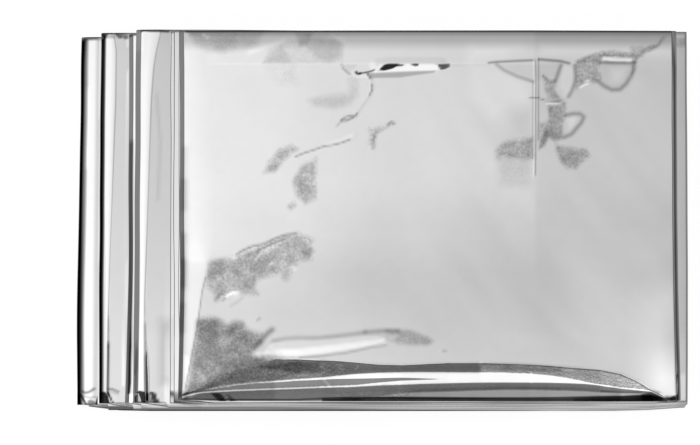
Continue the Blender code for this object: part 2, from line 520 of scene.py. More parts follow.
# %% [markdown]
# ## The folded strip
# Everything below the top panel is one strip with sixteen folds. At each end of a stepped
# fold the loop is pinched flat, which leaves a small slanted facet, and the upper runs swell
# a little in the middle, where the top panel rests on them. Sculpting could do both, but a
# relief that is read from a few numbers keeps the runs from cutting into one another.

# %% What the relief adds to the strip
PINCHES = (
    # fold, end (1 back, -1 front), how deep from the edge, degrees
    (1, -1, 1.8, 1.5),
    (3, -1, 2.2, 1.5),
    (1, 1, 0.8, 10.0),
    (3, 1, 1.3, 8.0),
)
SWELLS = (0.0, 0.25, 0.5, 0.75, 1.0)  # mm, for run 11 and those above it
SWELL_FROM, SWELL_TO = -43.0, 31.0  # X
SWELL_RISE, SWELL_SINK = 16.0, 12.0  # mm over which it comes and goes
BACK_ROUND, BACK_FALL = 0.35, 35.0  # mm and degrees


def strip_relief(stations, x, y):
    """The pinched ends, the swelling of the upper runs and the rounded back edge."""
    height = np.zeros_like(x)
    for i, station in enumerate(stations):
        for fold, end, depth, fall in PINCHES:
            if station.fold == fold and station.raised > 0.3 and station.tread is not None:
                edge = FOLDS[fold][BACK if end > 0 else FRONT]
                inner = np.clip(depth - np.abs(edge - y[i]), 0.0, depth)
                behind = np.clip((1.25 - station.tread) / 0.25, 0.0, 1.0)
                height[i] -= inner * slope(fall) * behind * station.raised
        swell = SWELLS[max(0, min(4, station.low - 11))]
        swell = swell * smooth((x[i] - SWELL_FROM) / SWELL_RISE)
        height[i] += swell * smooth((SWELL_TO - x[i]) / SWELL_SINK)
        edge = np.clip(BACK_ROUND - (FOLDS[station.fold][BACK] - y[i]), 0.0, None)
        height[i] -= edge * slope(BACK_FALL) * (station.raised > 0.9)
    return height


print("pinched ends:", len(PINCHES))

# %% Build the folded strip
rows = [Station(INNER_END, 0, 0, 0)]
for index in range(TOP):
    turn = loop(index)
    if index == TOP - 1:
        turn = turn[: len(turn) // 2 + 1]
    rows += run(rows[-1], turn[0], 7.0) + turn
places_top = spaced(
    (-41.0, -36.5, 0.22), (-36.5, -34.0, 0.6), (-34.0, 36.0, 1.4), (36.0, 38.6, 0.5), (38.6, 40.85, 0.2),
)
places_bottom = spaced(
    (40.85, 39.5, 0.4), (39.5, 36.0, 1.2), (36.0, -30.0, 6.0), (-30.0, -38.0, 1.3), (-38.0, -40.85, 0.4),
)
across, off, shift = run_outline(places_top, places_bottom)
strip = closed_sheet("folded_strip", carried(rows, across, off, shift, strip_relief))

# %% [markdown]
# ## Creases
# The film keeps every knock it has had. A sharp crease is a ridge with a path, a width on each
# side of it and a height. It could all be bump, but then the creases would vanish from the
# side and from the mesh. In this table and those of shades a path is written as X, Y, X, Y
# and so on.

# %% Reading a path


def path_of(numbers):
    """X, Y, X, Y and so on as a list of places."""
    return list(zip(numbers[::2], numbers[1::2]))


def path_reading(x, y, path, reach):
    """Distance from a path, which side of it (left is positive), and the points within reach."""
    xs, ys = [p[0] for p in path], [p[1] for p in path]
    near = (x > min(xs) - reach) & (x < max(xs) + reach) & (y > min(ys) - reach) & (y < max(ys) + reach)
    px, py = x[near], y[near]
    best, side = np.full(px.shape, 1e9), np.ones(px.shape)
    for (ax, ay), (bx, by) in zip(path, path[1:]):
        dx, dy = bx - ax, by - ay
        t = np.clip(((px - ax) * dx + (py - ay) * dy) / (dx * dx + dy * dy), 0.0, 1.0)
        away = np.hypot(px - ax - t * dx, py - ay - t * dy)
        closer = away < best
        turn = np.sign(dx * (py - ay) - dy * (px - ax))
        best, side = np.where(closer, away, best), np.where(closer, turn, side)
    return near, best, side


def inside_reading(px, py, path):
    """Whether places lie inside a closed path."""
    inside = np.zeros(px.shape, bool)
    for (ax, ay), (bx, by) in zip(path, path[1:] + path[:1]):
        if ay != by:
            crossing = (ay > py) != (by > py)
            inside ^= crossing & (px < (bx - ax) * (py - ay) / (by - ay) + ax)
    return inside


square = path_of((0.0, 0.0, 4.0, 0.0, 4.0, 4.0, 0.0, 4.0))
print("inside a square:", inside_reading(np.array([1.0, 5.0]), np.array([1.0, 1.0]), square))

# %% The table of creases
CREASES = (
    # left width, right width, height, path; the left hand is that going along the path
    # the lip of the ply: a pucker that stands up a little in front of the ply edge
    (1.6, 1.5, 0.05, -1.2, 33.4, 0.8, 33.6, 3.9, 33.7, 8.3, 33.7, 12.7, 33.7),
    # thin creases that run down from it
    (0.5, 0.3, 0.012, -3.1, 31.2, -2.5, 30.3, -2.2, 28.6, -2.9, 26.6, -4.5, 24.4, -5.8, 22.4,
     -7.1, 21.7),
    (0.5, 0.35, 0.03, 2.3, 20.8, 1.2, 20.2, -0.1, 19.3, -1.4, 18.6, -2.0, 17.1, -2.0, 15.1),
    (0.35, 0.5, 0.02, -5.8, 18.2, -7.1, 17.1, -8.9, 16.4, -10.8, 16.0, -14.8, 14.9, -19.2, 13.3),
    # the end of the turned-under strip shows through as a double crease
    (0.3, 0.3, 0.017, 33.4, 34.9, 33.6, 30.3, 33.5, 21.5, 33.4, 9.2),
    (0.3, 0.3, 0.012, 34.1, 35.2, 34.1, 30.3, 34.0, 21.5, 33.8, 16.9),
    # the top of the crumpled patch on the left
    (0.4, 0.3, 0.03, -32.1, -8.0, -30.2, -6.9, -26.4, -6.0, -22.5, -4.5, -18.7, -3.5),
    (0.35, 0.3, 0.03, -27.7, -9.4, -26.4, -7.6, -23.6, -6.3, -20.3, -4.6),
    (0.35, 0.35, 0.04, -34.3, -17.5, -33.7, -16.9, -32.8, -16.5, -31.7, -16.9),
    # the long low blister at the front
    (2.2, 1.4, 0.10, -26.4, -29.9, -23.6, -29.2, -18.1, -29.0, -9.3, -28.0, 0.6, -26.8),
)


def ridges_at(x, y):
    """Height of all the creases."""
    height = np.zeros_like(x)
    for left, right, high, *numbers in CREASES:
        near, away, side = path_reading(x, y, path_of(numbers), max(left, right))
        width = np.where(side > 0, left, right)
        height[near] += high * np.clip(1.0 - away / width, 0.0, 1.0)
    return height


print(len(CREASES), "creases, the highest", max(row[2] for row in CREASES), "mm")

# %% [markdown]
# ## Painted shade and light on the top panel
# Where the film is finely crumpled or tightly curved it scatters light and looks darker or paler than its
# surroundings, and much of its look is what the mirror catches: dark slots, shadows under the lip and
# edges, glints along creases, and facets that face a dark or a bright part of the room. Thousands of real
# creases would show the same, and cost as many faces. So it is painted into the colour as a shade, a
# number that the tone of the film is multiplied by, stored on the points of the mesh for the finish to
# read. Below 1 it is painted shade, painted shadow or a painted dark reflection, and above 1 a painted
# highlight or a painted pale reflection. A line is painted along a path and a patch inside one. Softness
# is how far a patch's edge fades, and grain how crumpled it looks.

# %% Lines round the lip
LIP_LINES = (
    # width, shade, path
    # painted shade: dark lines are the shadows and dark reflections round the lip and the creases below
    # it, and shades above 1 are painted highlights
    (0.2, 0.76, -8.9, 33.7, -8.7, 32.9, -8.0, 32.2, -7.1, 31.5),
    (0.24, 0.2, -5.8, 32.0, -5.4, 31.6, -4.9, 31.7),
    (0.17, 0.45, -4.9, 31.7, -4.4, 31.8, -3.2, 32.0, -2.4, 32.2, -1.7, 32.5),
    (0.2, 0.62, -3.4, 31.8, -3.0, 31.2, -2.5, 30.5),
    (0.22, 0.7, -2.3, 29.1, -2.2, 28.6, -2.3, 27.8),
    (0.22, 0.72, -2.5, 27.5, -2.8, 26.9),
    (0.2, 0.9, -2.5, 30.3, -2.3, 29.2),
    (0.25, 0.92, -2.9, 26.6, -4.5, 24.4, -5.6, 22.8),
    (0.3, 1.08, -1.5, 32.0, -1.0, 32.7, -0.3, 33.6),
    (0.3, 1.06, -6.7, 32.4, -6.2, 31.5, -5.3, 31.0, -3.6, 31.1),
    (0.22, 0.72, -9.0, 21.4, -8.2, 22.0, -7.3, 22.3, -6.4, 22.2),
    (0.25, 0.68, -9.0, 21.2, -7.8, 21.3, -6.8, 21.8, -5.9, 22.3, -5.6, 22.7),
    (0.22, 0.85, -9.3, 20.8, -10.0, 20.1),
    (0.3, 0.7, 1.4, 20.5, 1.9, 20.9, 2.5, 20.6),
    (0.32, 0.76, -1.7, 18.0, -2.0, 16.9, -2.1, 15.1),
    (0.3, 0.9, 1.5, 20.1, -0.1, 19.2, -1.6, 18.4),
    (0.2, 0.74, -19.2, 13.3, -17.0, 14.2, -14.8, 14.9, -12.6, 15.7, -10.8, 15.9, -8.9, 16.4, -7.1, 17.1),
    (0.3, 1.05, -12.4, 16.1, -9.3, 17.0, -6.7, 18.0),
    (0.3, 0.97, 14.9, 33.5, 22.8, 33.7),
)
print(len(LIP_LINES), "lines round the lip")

# %% Lines of the creases at the back right
BACK_RIGHT_LINES = (
    # width, shade, path
    # painted shade along the creases at the back right, their shadows and dark reflections, and painted
    # highlights where a line is above 1
    (0.28, 0.7, 23.4, 34.0, 25.0, 34.2, 28.7, 34.4, 33.1, 34.6),
    (0.3, 0.66, 34.4, 34.8, 36.8, 34.6, 39.3, 34.4, 41.1, 33.9),
    (0.42, 0.8, 25.1, 33.7, 26.8, 32.4, 29.5, 31.1, 33.1, 29.9),
    (0.17, 0.86, 33.1, 29.9, 33.1, 21.5, 33.0, 12.7),
    (0.17, 0.84, 33.8, 34.7, 33.8, 30.3, 33.7, 21.5, 33.7, 14.9, 33.6, 9.2),
    (0.17, 0.84, 34.4, 34.7, 34.4, 30.3, 34.3, 16.9),
    (0.18, 0.72, 32.4, 26.3, 34.4, 26.3, 35.7, 25.7, 38.5, 25.5, 40.2, 25.0),
    (0.45, 0.72, 39.3, 33.5, 38.7, 31.8, 38.0, 29.9),
    (0.4, 0.76, 42.3, 33.4, 42.5, 31.4, 42.4, 29.9, 41.7, 27.9, 41.0, 26.6),
    (0.4, 0.72, 48.0, 34.1, 51.0, 34.0, 54.6, 34.0, 55.5, 34.2),
    (0.5, 0.74, 55.5, 34.3, 55.3, 32.7, 54.8, 31.3, 53.7, 29.5, 52.3, 28.2, 50.5, 28.1, 48.8, 28.9,
     47.6, 29.9),
    (0.45, 0.74, 40.5, 22.5, 41.9, 22.8, 43.4, 22.8, 44.3, 22.1, 43.8, 20.9, 41.6, 18.3, 40.0, 17.6),
    (0.3, 0.88, 49.1, 34.4, 50.4, 34.2, 51.8, 34.3, 53.5, 34.2),
    (0.25, 0.86, 55.0, 33.4, 55.4, 32.5, 54.9, 31.6),
    (0.22, 0.84, 48.0, 35.6, 49.1, 35.9, 50.2, 35.6, 51.5, 35.9, 53.1, 35.5),
    (0.2, 0.85, 59.9, 37.5, 60.8, 38.0, 61.4, 38.9),
    (0.22, 1.22, 43.5, 28.6, 44.3, 29.1, 45.2, 29.4),
    (0.2, 1.2, 44.5, 30.0, 45.6, 30.2),
    (0.28, 1.25, 48.7, 35.0, 49.3, 34.9, 50.0, 34.9),
    (0.35, 1.2, 50.2, 34.8, 51.8, 34.6, 53.3, 34.6, 54.6, 34.7),
    (0.22, 1.16, 36.3, 25.0, 37.3, 24.9, 38.5, 24.9),
    (0.3, 0.86, 35.3, 31.2, 36.2, 30.3, 36.8, 29.4),
)
print(len(BACK_RIGHT_LINES), "lines of the creases at the back right")

# %% Lines in the crumpled patch on the left
LEFT_LINES = (
    # width, shade, path
    # painted dark outlines and painted highlights round the crumpled patch on the left
    (0.22, 0.76, -32.1, -8.2, -30.7, -7.3, -28.5, -6.4, -26.0, -5.9, -23.6, -4.7, -21.4, -3.9,
     -19.0, -3.6),
    (0.22, 0.8, -27.5, -8.0, -27.2, -7.3, -25.8, -6.6, -23.6, -5.6, -20.9, -4.6),
    (0.3, 1.14, -30.9, -8.2, -29.7, -7.6, -28.2, -6.9),
    (0.25, 1.2, -27.7, -9.4, -27.2, -8.6, -26.3, -7.8),
    (0.45, 1.12, -26.0, -7.4, -23.6, -6.2, -20.3, -4.6),
    (0.25, 1.12, -32.9, -9.1, -28.7, -9.0),
    (0.2, 1.2, -24.8, -10.2, -23.6, -10.4),
    (0.3, 1.2, -19.8, -10.8, -19.2, -11.5),
    (0.35, 1.15, -17.2, -5.0, -16.3, -5.5),
    (0.35, 1.15, -16.9, -7.1, -16.3, -7.7),
    (0.26, 1.3, -34.2, -17.4, -33.6, -17.0, -32.9, -16.6, -31.4, -16.7),
    (0.35, 0.88, -36.7, -18.2, -35.6, -17.1, -35.0, -16.1),
    (0.25, 0.8, -35.0, -18.3, -34.3, -17.7),
    (0.35, 0.93, -33.2, -19.5, -31.7, -18.6, -30.6, -17.7),
    (0.3, 0.84, -27.3, -22.6, -26.9, -22.3),
    (0.3, 0.92, -20.7, -5.6, -20.6, -8.5),
    (0.3, 0.92, -19.4, -5.0, -19.2, -8.9),
    # a painted dark line along the crease of the left facet
    (0.17, 0.76, -38.8, -13.3, -39.5, -16.4, -40.5, -23.7, -41.9, -31.4, -43.1, -37.6),
)
print(len(LEFT_LINES), "lines in the crumpled patch on the left")

# %% Lines of the front blister and the streak beside it
BLISTER_LINES = (
    # width, shade, path
    # painted shade: the dark edges of the blister's reflection and of the streak beside it
    (0.5, 0.87, -24.0, -27.2, -21.4, -26.7, -18.1, -26.5, -14.8, -26.6, -10.4, -26.2, -7.1, -25.8,
     -3.8, -25.3),
    (0.5, 0.82, -3.8, -25.3, 0.6, -25.0, 3.4, -25.0),
    (0.3, 0.85, -18.1, -30.9, -13.7, -30.6, -8.2, -29.9, -4.9, -29.2, -2.3, -28.6, 0.8, -28.2),
    (0.65, 0.7, -28.0, -28.6, -26.4, -27.0, -25.1, -25.5, -24.2, -24.8),
    (0.25, 0.85, 13.3, -29.3, 13.8, -29.5),
    # a painted highlight on a nick in the front edge
    (0.25, 1.6, -33.9, -39.0, -33.0, -39.6, -31.7, -40.5),
)
print(len(BLISTER_LINES), "lines of the front blister and the streak beside it")

# %% Lines along the edges
EDGE_LINES = (
    # width, shade, path
    # thin painted highlights across the front roll
    (0.2, 1.25, -5.8, -33.4, -5.3, -32.7),
    (0.2, 1.15, 32.4, -34.1, 32.6, -36.3),
    (0.25, 1.25, -12.8, -35.8, -11.5, -37.1),
    # painted shade along the turn of the left fold
    (0.9, 0.9, -43.6, 14.9, -43.7, -1.7, -43.8, -11.6, -44.0, -18.2, -44.1, -22.6, -44.2, -29.2,
     -44.3, -34.5, -44.3, -37.6),
    (0.9, 0.87, -43.7, 7.8, -43.7, 2.1),
    (0.9, 0.84, -43.7, -4.1, -43.8, -11.6, -44.0, -18.2, -44.1, -22.6, -44.2, -29.2, -44.3, -34.5,
     -44.3, -37.1),
    (0.9, 0.8, -43.8, -9.8, -43.9, -14.9),
    (0.9, 0.82, -44.0, -19.5, -44.1, -24.8),
    # a painted dark reflection along the right fold
    (0.26, 0.4, 64.21, 40.1, 64.21, 21.5, 64.21, -2.7, 64.25, -20.4, 64.39, -30.3, 64.61, -35.4,
     64.69, -38.5),
    # a painted dark line along the crease where the front roll starts
    (0.25, 0.8, 21.9, -32.2, 26.3, -32.2, 32.4, -32.4, 36.4, -32.7, 40.6, -33.0, 44.5, -33.4, 47.8, -33.7,
     52.2, -34.5, 55.9, -36.1, 58.8, -37.9, 60.3, -38.6),
    # a painted dark reflection along the back edge, and small painted highlights near it
    (0.5, 0.84, -42.2, 40.5, 63.6, 40.5),
    (0.26, 0.5, -43.1, 41.1, 63.6, 41.1),
    (0.35, 1.16, -39.4, 40.4, -38.4, 39.7),
    (0.5, 1.07, -11.1, 40.1, -8.6, 38.9),
    (0.6, 1.05, -29.1, 36.4, -26.4, 37.3, -23.6, 38.4, -21.8, 38.9),
)
print(len(EDGE_LINES), "lines along the edges")

# %% Broad patches of painted reflection, where the panel is not quite flat
BROAD_PATCHES = (
    # softness, shade, grain, outline
    # painted reflection: a little darker or paler where the panel tips towards a darker or a brighter part
    # of the room
    (9.0, 0.96, 0.0, -11.5, 0.6, 39.0, 3.9, 39.0, -24.8, 10.5, -28.1, -11.5, -22.6),
    (6.0, 0.97, 0.0, -37.8, -18.2, -11.5, -16.0, -11.5, -24.8, -26.9, -24.8, -38.9, -22.2),
    (5.0, 1.04, 0.0, 39.0, -9.4, 63.6, -5.0, 63.6, -40.2, 58.8, -37.6, 47.8, -33.2),
    (5.0, 1.07, 0.0, 56.6, -18.2, 63.6, -16.0, 64.1, -40.2, 59.2, -37.6),
    (3.0, 1.06, 0.0, 19.3, 37.8, 30.2, 37.8, 25.8, 35.2, 19.3, 34.7),
    (1.5, 1.06, 0.0, 34.6, 38.5, 64.1, 38.5, 64.1, 35.4, 34.6, 35.4),
    (3.5, 0.94, 0.0, 28.5, 23.3, 33.1, 24.6, 33.1, 17.1, 26.9, 16.4),
    (2.0, 1.03, 0.0, 19.3, 33.4, 25.8, 33.0, 32.4, 29.4, 32.4, 25.0, 23.6, 21.5, 19.3, 25.9),
)
print(len(BROAD_PATCHES), "broad patches where the panel is not quite flat")

# %% Patches at the back left
BACK_LEFT_PATCHES = (
    # softness, shade, grain, outline
    # lightly crumpled grey patches: the grain is the crumple, and their darker tone is painted shade
    (1.0, 0.88, 0.3, -42.5, 40.9, -26.4, 40.9, -27.3, 38.0, -30.2, 37.2, -34.5, 36.5, -38.5, 36.7,
     -41.1, 38.3),
    (1.2, 0.93, 0.3, -36.7, 40.0, -32.4, 40.0, -32.1, 37.8, -34.8, 36.5, -37.0, 36.9),
    (0.6, 0.92, 0.3, -26.4, 34.0, -24.2, 36.5, -22.3, 37.7, -20.7, 36.1, -20.1, 34.0),
    (0.7, 0.85, 0.3, -19.0, 40.7, -15.4, 40.7, -16.5, 38.0, -18.1, 37.8),
    (1.0, 0.9, 0.3, -16.3, 40.0, -10.6, 40.0, -8.6, 38.3, -9.1, 35.4, -11.5, 34.3, -14.1, 34.7,
     -16.5, 36.9),
    (0.4, 0.96, 0.3, -25.1, 36.9, -20.3, 39.1, -8.6, 39.1, -8.6, 33.9, -26.4, 33.9),
    (1.0, 0.9, 0.3, -16.3, 25.9, -13.7, 26.6, -8.6, 27.2, -6.4, 26.3, -6.9, 25.0, -10.4, 23.9,
     -14.8, 24.6),
    (1.5, 0.97, 0.3, -24.7, 33.4, -19.0, 33.4, -18.5, 29.4, -23.4, 29.4),
    (0.8, 0.94, 0.3, -7.5, 30.8, -5.3, 30.5, -5.3, 26.3, -7.1, 25.9),
)
print(len(BACK_LEFT_PATCHES), "patches at the back left")

# %% Patches round the lip
LIP_PATCHES = (
    # softness, shade, grain, outline
    # the lip's openings, painted near black as shadow, then painted shade beside and under the lip and a
    # painted highlight along its crest
    (0.12, 0.2, 0.0, -0.6, 32.5, -0.2, 33.0, 0.5, 33.6, 1.2, 33.8, 3.1, 33.8, 3.8, 33.7, 3.2, 33.3,
     2.3, 32.8, 1.2, 32.5, 0.3, 32.3),
    (0.12, 0.4, 0.0, 3.0, 33.7, 4.7, 33.7, 4.8, 33.4, 4.2, 33.3, 3.2, 33.3),
    (0.12, 0.3, 0.0, 6.5, 33.8, 8.0, 33.8, 8.0, 33.4, 7.3, 33.3, 6.5, 33.5),
    (0.14, 0.42, 0.0, 12.4, 33.7, 14.7, 33.8, 14.7, 33.1, 13.7, 32.6, 12.7, 32.5, 12.5, 33.2),
    (0.14, 0.7, 0.0, 11.7, 33.8, 12.6, 33.7, 12.6, 33.2),
    (0.25, 0.8, 0.0, -3.4, 31.7, -0.5, 31.8, 3.9, 32.0, 8.3, 32.2, 11.6, 32.3, 11.5, 31.9, 7.8, 31.4,
     6.0, 31.1, 3.8, 30.8, -1.3, 30.7, -2.6, 30.6),
    (0.3, 0.95, 0.0, -8.6, 33.7, -5.6, 33.7, -6.2, 32.5, -7.1, 31.8, -8.2, 32.3),
    (0.2, 1.11, 0.0, 5.0, 33.8, 12.2, 33.7, 12.5, 32.5, 10.5, 32.3, 6.0, 32.2, 3.2, 32.1, -1.4, 31.9,
     0.4, 32.3, 2.3, 32.7, 3.7, 33.2),
    # below the lip: crumpled film, its darker tone painted in as shade
    (0.6, 0.92, 1.1, -3.4, 19.7, -0.5, 20.0, 1.2, 20.4, 0.4, 19.5, -1.4, 18.4, -1.8, 15.8, -2.9, 15.8,
     -2.7, 18.4),
    (0.7, 0.84, 1.1, -26.0, 9.8, -25.1, 12.2, -22.7, 14.9, -19.8, 15.9, -18.5, 15.1, -20.1, 13.8,
     -21.8, 12.2, -23.4, 10.0),
    (0.8, 0.83, 1.1, -14.6, 13.1, -14.6, 3.9, -16.8, 3.0, -19.0, 4.7, -19.6, 8.1, -17.9, 11.1),
    (0.5, 0.9, 1.1, -20.9, 2.5, -19.4, 3.9, -18.7, 2.5, -20.1, 1.2),
)
print(len(LIP_PATCHES), "patches round the lip")

# %% Patches at the back right
BACK_RIGHT_PATCHES = (
    # softness, shade, grain, outline
    # crumpled patches at the back right, their darker tone painted in as shade, and painted pale
    # reflections where a patch is above 1
    (0.6, 0.96, 0.0, 25.8, 33.8, 39.0, 34.3, 38.1, 31.2, 36.4, 30.3, 33.3, 30.3, 29.1, 31.9),
    (0.5, 0.82, 1.2, 35.3, 31.2, 36.6, 30.3, 38.1, 30.3, 38.1, 27.7, 39.2, 26.1, 40.1, 25.5, 38.1, 25.7,
     36.4, 26.1, 35.7, 28.6),
    (0.5, 0.78, 1.2, 36.4, 24.8, 38.4, 24.7, 40.2, 24.6, 40.3, 22.6, 39.5, 20.4, 39.8, 17.3, 38.1, 16.6,
     36.6, 17.5, 35.3, 15.5, 34.4, 14.9, 34.8, 17.1, 35.7, 19.3, 36.6, 21.9),
    (0.5, 0.88, 1.2, 34.4, 20.6, 35.7, 21.1, 36.6, 18.2, 35.7, 15.8, 34.4, 15.1),
    (0.5, 1.04, 0.0, 39.7, 33.4, 41.9, 33.2, 42.1, 30.3, 41.2, 27.9, 40.1, 26.6, 39.2, 29.0),
    (0.4, 0.8, 1.2, 42.7, 34.6, 45.6, 35.8, 48.2, 36.6, 50.9, 36.8, 54.6, 36.2, 56.4, 35.7, 55.9, 34.7,
     54.6, 35.2, 51.1, 35.4, 48.7, 35.5, 47.8, 34.3, 45.6, 34.1, 42.7, 33.8),
    (0.4, 0.8, 1.2, 55.9, 34.9, 56.4, 36.1, 57.2, 37.1, 58.8, 37.9, 60.5, 38.3, 61.6, 39.8, 62.5, 40.0,
     61.2, 37.8, 59.9, 36.9, 58.3, 36.4),
    (0.5, 0.85, 1.2, 42.5, 33.8, 45.6, 34.5, 48.0, 34.3, 47.8, 32.5, 48.2, 30.5, 46.5, 29.4, 45.2, 30.3,
     43.4, 28.8, 42.5, 27.7, 42.4, 30.3),
    (0.5, 0.96, 0.0, 48.2, 33.8, 55.0, 33.8, 53.7, 29.9, 52.2, 28.6, 49.8, 28.6, 47.8, 29.7),
    (1.2, 1.07, 0.0, 50.2, 32.5, 53.3, 32.7, 52.4, 29.9, 50.4, 29.7),
    (0.6, 1.07, 0.0, 40.6, 21.9, 42.7, 22.2, 42.3, 20.6, 41.0, 19.3),
    (0.6, 0.8, 1.2, 38.0, 16.0, 40.2, 15.5, 44.7, 15.1, 45.6, 13.6, 43.4, 11.5, 42.5, 10.6, 40.7, 10.6,
     39.3, 12.0, 38.2, 14.7),
    (0.9, 0.8, 1.2, 25.0, 14.7, 26.9, 16.4, 29.1, 17.1, 33.1, 17.5, 33.1, 13.3, 31.5, 12.7, 29.1, 13.1,
     26.5, 13.3, 25.4, 12.9),
    (1.6, 0.93, 0.25, 25.2, 13.6, 32.9, 13.6, 32.4, 6.9, 25.8, 6.9),
)
print(len(BACK_RIGHT_PATCHES), "patches at the back right")

# %% The crumpled patch on the left
LEFT_PATCHES = (
    # softness, shade, grain, outline
    # the grain is the crumple, and the patch's darker tone is painted shade
    (0.8, 0.84, 1.2, -38.2, -9.7, -34.1, -8.9, -32.1, -8.7, -30.7, -7.6, -28.5, -6.6, -26.0, -6.1,
     -23.6, -4.8, -21.4, -4.0, -18.7, -3.7, -17.0, -3.9, -15.2, -5.0, -16.1, -6.3, -14.9, -7.4,
     -16.5, -8.8, -18.7, -10.3, -19.6, -11.5, -20.8, -14.0, -21.8, -13.7, -22.3, -12.5, -24.3, -13.0,
     -27.2, -13.5, -28.2, -15.5, -27.2, -17.0, -29.7, -17.1, -31.2, -16.7, -32.6, -16.2, -34.1, -17.0,
     -36.3, -18.6, -37.1, -16.4, -38.7, -15.5),
    (0.9, 0.9, 1.2, -37.8, -9.8, -35.2, -9.4, -34.8, -11.6, -36.3, -13.3, -38.3, -14.2),
    (0.8, 0.93, 1.2, -29.9, -9.8, -26.4, -8.5, -23.8, -8.9, -25.1, -11.1, -28.6, -12.0),
    (0.7, 0.92, 1.2, -19.0, -4.5, -16.3, -5.0, -16.5, -7.2, -18.1, -8.5, -19.4, -7.2),
    (2.0, 0.95, 1.2, -37.4, -9.8, -28.0, -9.8, -23.6, -8.5, -24.7, -12.0, -31.3, -14.7, -36.5, -13.8),
)
print(len(LEFT_PATCHES), "patches make the crumpled patch on the left")

# %% Patches along the front
FRONT_PATCHES = (
    # softness, shade, grain, outline
    # front left: a crumpled patch darkened as painted shade, with painted dark and pale reflections that
    # blend it into the first facet of the roll
    (1.0, 0.71, 1.2, -40.5, -22.6, -38.7, -22.0, -36.7, -22.2, -35.2, -22.8, -33.9, -23.7, -32.4, -22.8,
     -30.6, -23.0, -29.5, -24.8, -26.4, -25.7, -26.4, -27.7, -27.7, -29.2, -28.6, -30.5, -18.1, -31.6,
     -18.1, -34.1, -24.7, -35.8, -36.5, -37.3, -42.9, -38.5, -42.2, -33.6, -41.1, -28.1),
    (1.2, 0.86, 0.0, -40.3, -23.0, -36.5, -23.0, -35.9, -27.9, -40.0, -29.2),
    (1.0, 0.9, 0.0, -33.9, -23.9, -30.6, -23.7, -29.1, -28.1, -33.0, -28.1),
    (1.0, 1.06, 0.0, -38.9, -28.1, -34.5, -26.1, -33.0, -26.6, -37.4, -30.5),
    (1.2, 1.1, 0.0, -42.2, -35.4, -38.9, -32.7, -36.1, -31.9, -35.2, -33.2, -38.9, -36.7),
    (1.6, 0.9, 0.3, -39.4, -34.1, -38.7, -29.7, -37.0, -27.9, -33.9, -28.6, -34.3, -31.4, -37.0, -34.1),
    (1.3, 0.93, 0.2, -38.7, -37.1, -37.0, -35.2, -34.8, -33.6, -32.1, -32.3, -29.1, -31.2, -26.4, -30.8,
     -26.0, -31.9, -28.6, -32.7, -31.3, -33.8, -33.9, -35.4, -36.5, -37.1),
    (1.8, 1.13, 0.2, -40.0, -38.5, -38.3, -36.0, -35.2, -34.5, -33.0, -33.8, -34.3, -37.6),
    (2.2, 0.84, 0.5, -40.0, -38.3, -37.0, -34.5, -33.5, -32.3, -29.5, -30.5, -23.6, -30.0, -22.5, -31.0,
     -26.4, -32.1, -29.9, -33.4, -33.5, -35.2, -37.0, -37.6),
    # painted dark reflections on the facets of the roll, lightly crumpled in places
    (1.0, 0.92, 0.8, -33.5, -34.5, -26.4, -32.7, -13.7, -31.9, -8.2, -32.3, -8.2, -34.5, -18.1, -35.4,
     -29.1, -36.0, -34.3, -36.9),
    (1.0, 0.86, 0.4, -18.1, -32.3, -8.2, -32.5, 3.9, -33.0, 12.7, -32.6, 20.8, -32.4, 21.4, -33.7,
     12.7, -33.7, 3.9, -33.8, -7.1, -34.2, -15.9, -34.7),
    (0.5, 0.8, 0.3, -13.2, -31.4, -6.2, -31.9, -0.5, -32.3, 4.3, -32.5, 14.4, -32.0, 21.0, -32.0,
     21.7, -33.0, 21.0, -34.2, 8.3, -34.1, -0.5, -34.2, -6.2, -34.5, -13.2, -35.3),
    (0.3, 0.85, 0.0, 50.0, -37.1, 55.9, -37.8, 58.8, -38.2, 61.0, -38.5, 58.8, -38.5, 55.9, -38.2,
     50.0, -37.7),
    (0.3, 0.86, 0.0, -40.9, -38.1, -31.3, -37.8, -18.1, -37.2, -13.7, -37.0, -13.7, -37.5, -18.1, -37.8,
     -31.3, -38.3, -40.9, -38.8),
    # a painted highlight along the blister, and a painted dark reflection in the streak beside it
    (0.3, 1.09, 0.0, -26.4, -30.1, -25.5, -29.0, -24.2, -27.7, -21.4, -27.2, -18.1, -27.0, -11.5, -26.8,
     -4.9, -26.2, -1.6, -26.1, 0.8, -26.5, 0.4, -27.2, -1.6, -27.9, -4.9, -28.6, -8.2, -29.2,
     -13.7, -30.1, -18.1, -30.6, -23.6, -30.4),
    (0.7, 0.8, 0.6, 0.8, -25.0, 3.9, -24.8, 6.5, -25.0, 9.4, -26.1, 11.1, -27.3, 10.0, -28.2, 7.2, -28.2,
     5.0, -28.0, 3.4, -28.0, 2.1, -27.2, 3.4, -26.1),
    # folds in the front edge, painted dark as their shadow
    (0.14, 0.4, 0.0, -37.5, -38.6, -35.5, -38.7, -34.8, -39.4, -34.2, -40.4, -35.6, -40.4, -36.6, -39.6),
    (0.14, 0.5, 0.0, -34.3, -38.8, -33.7, -38.8, -31.5, -40.4, -33.2, -40.4),
)
print(len(FRONT_PATCHES), "patches along the front")

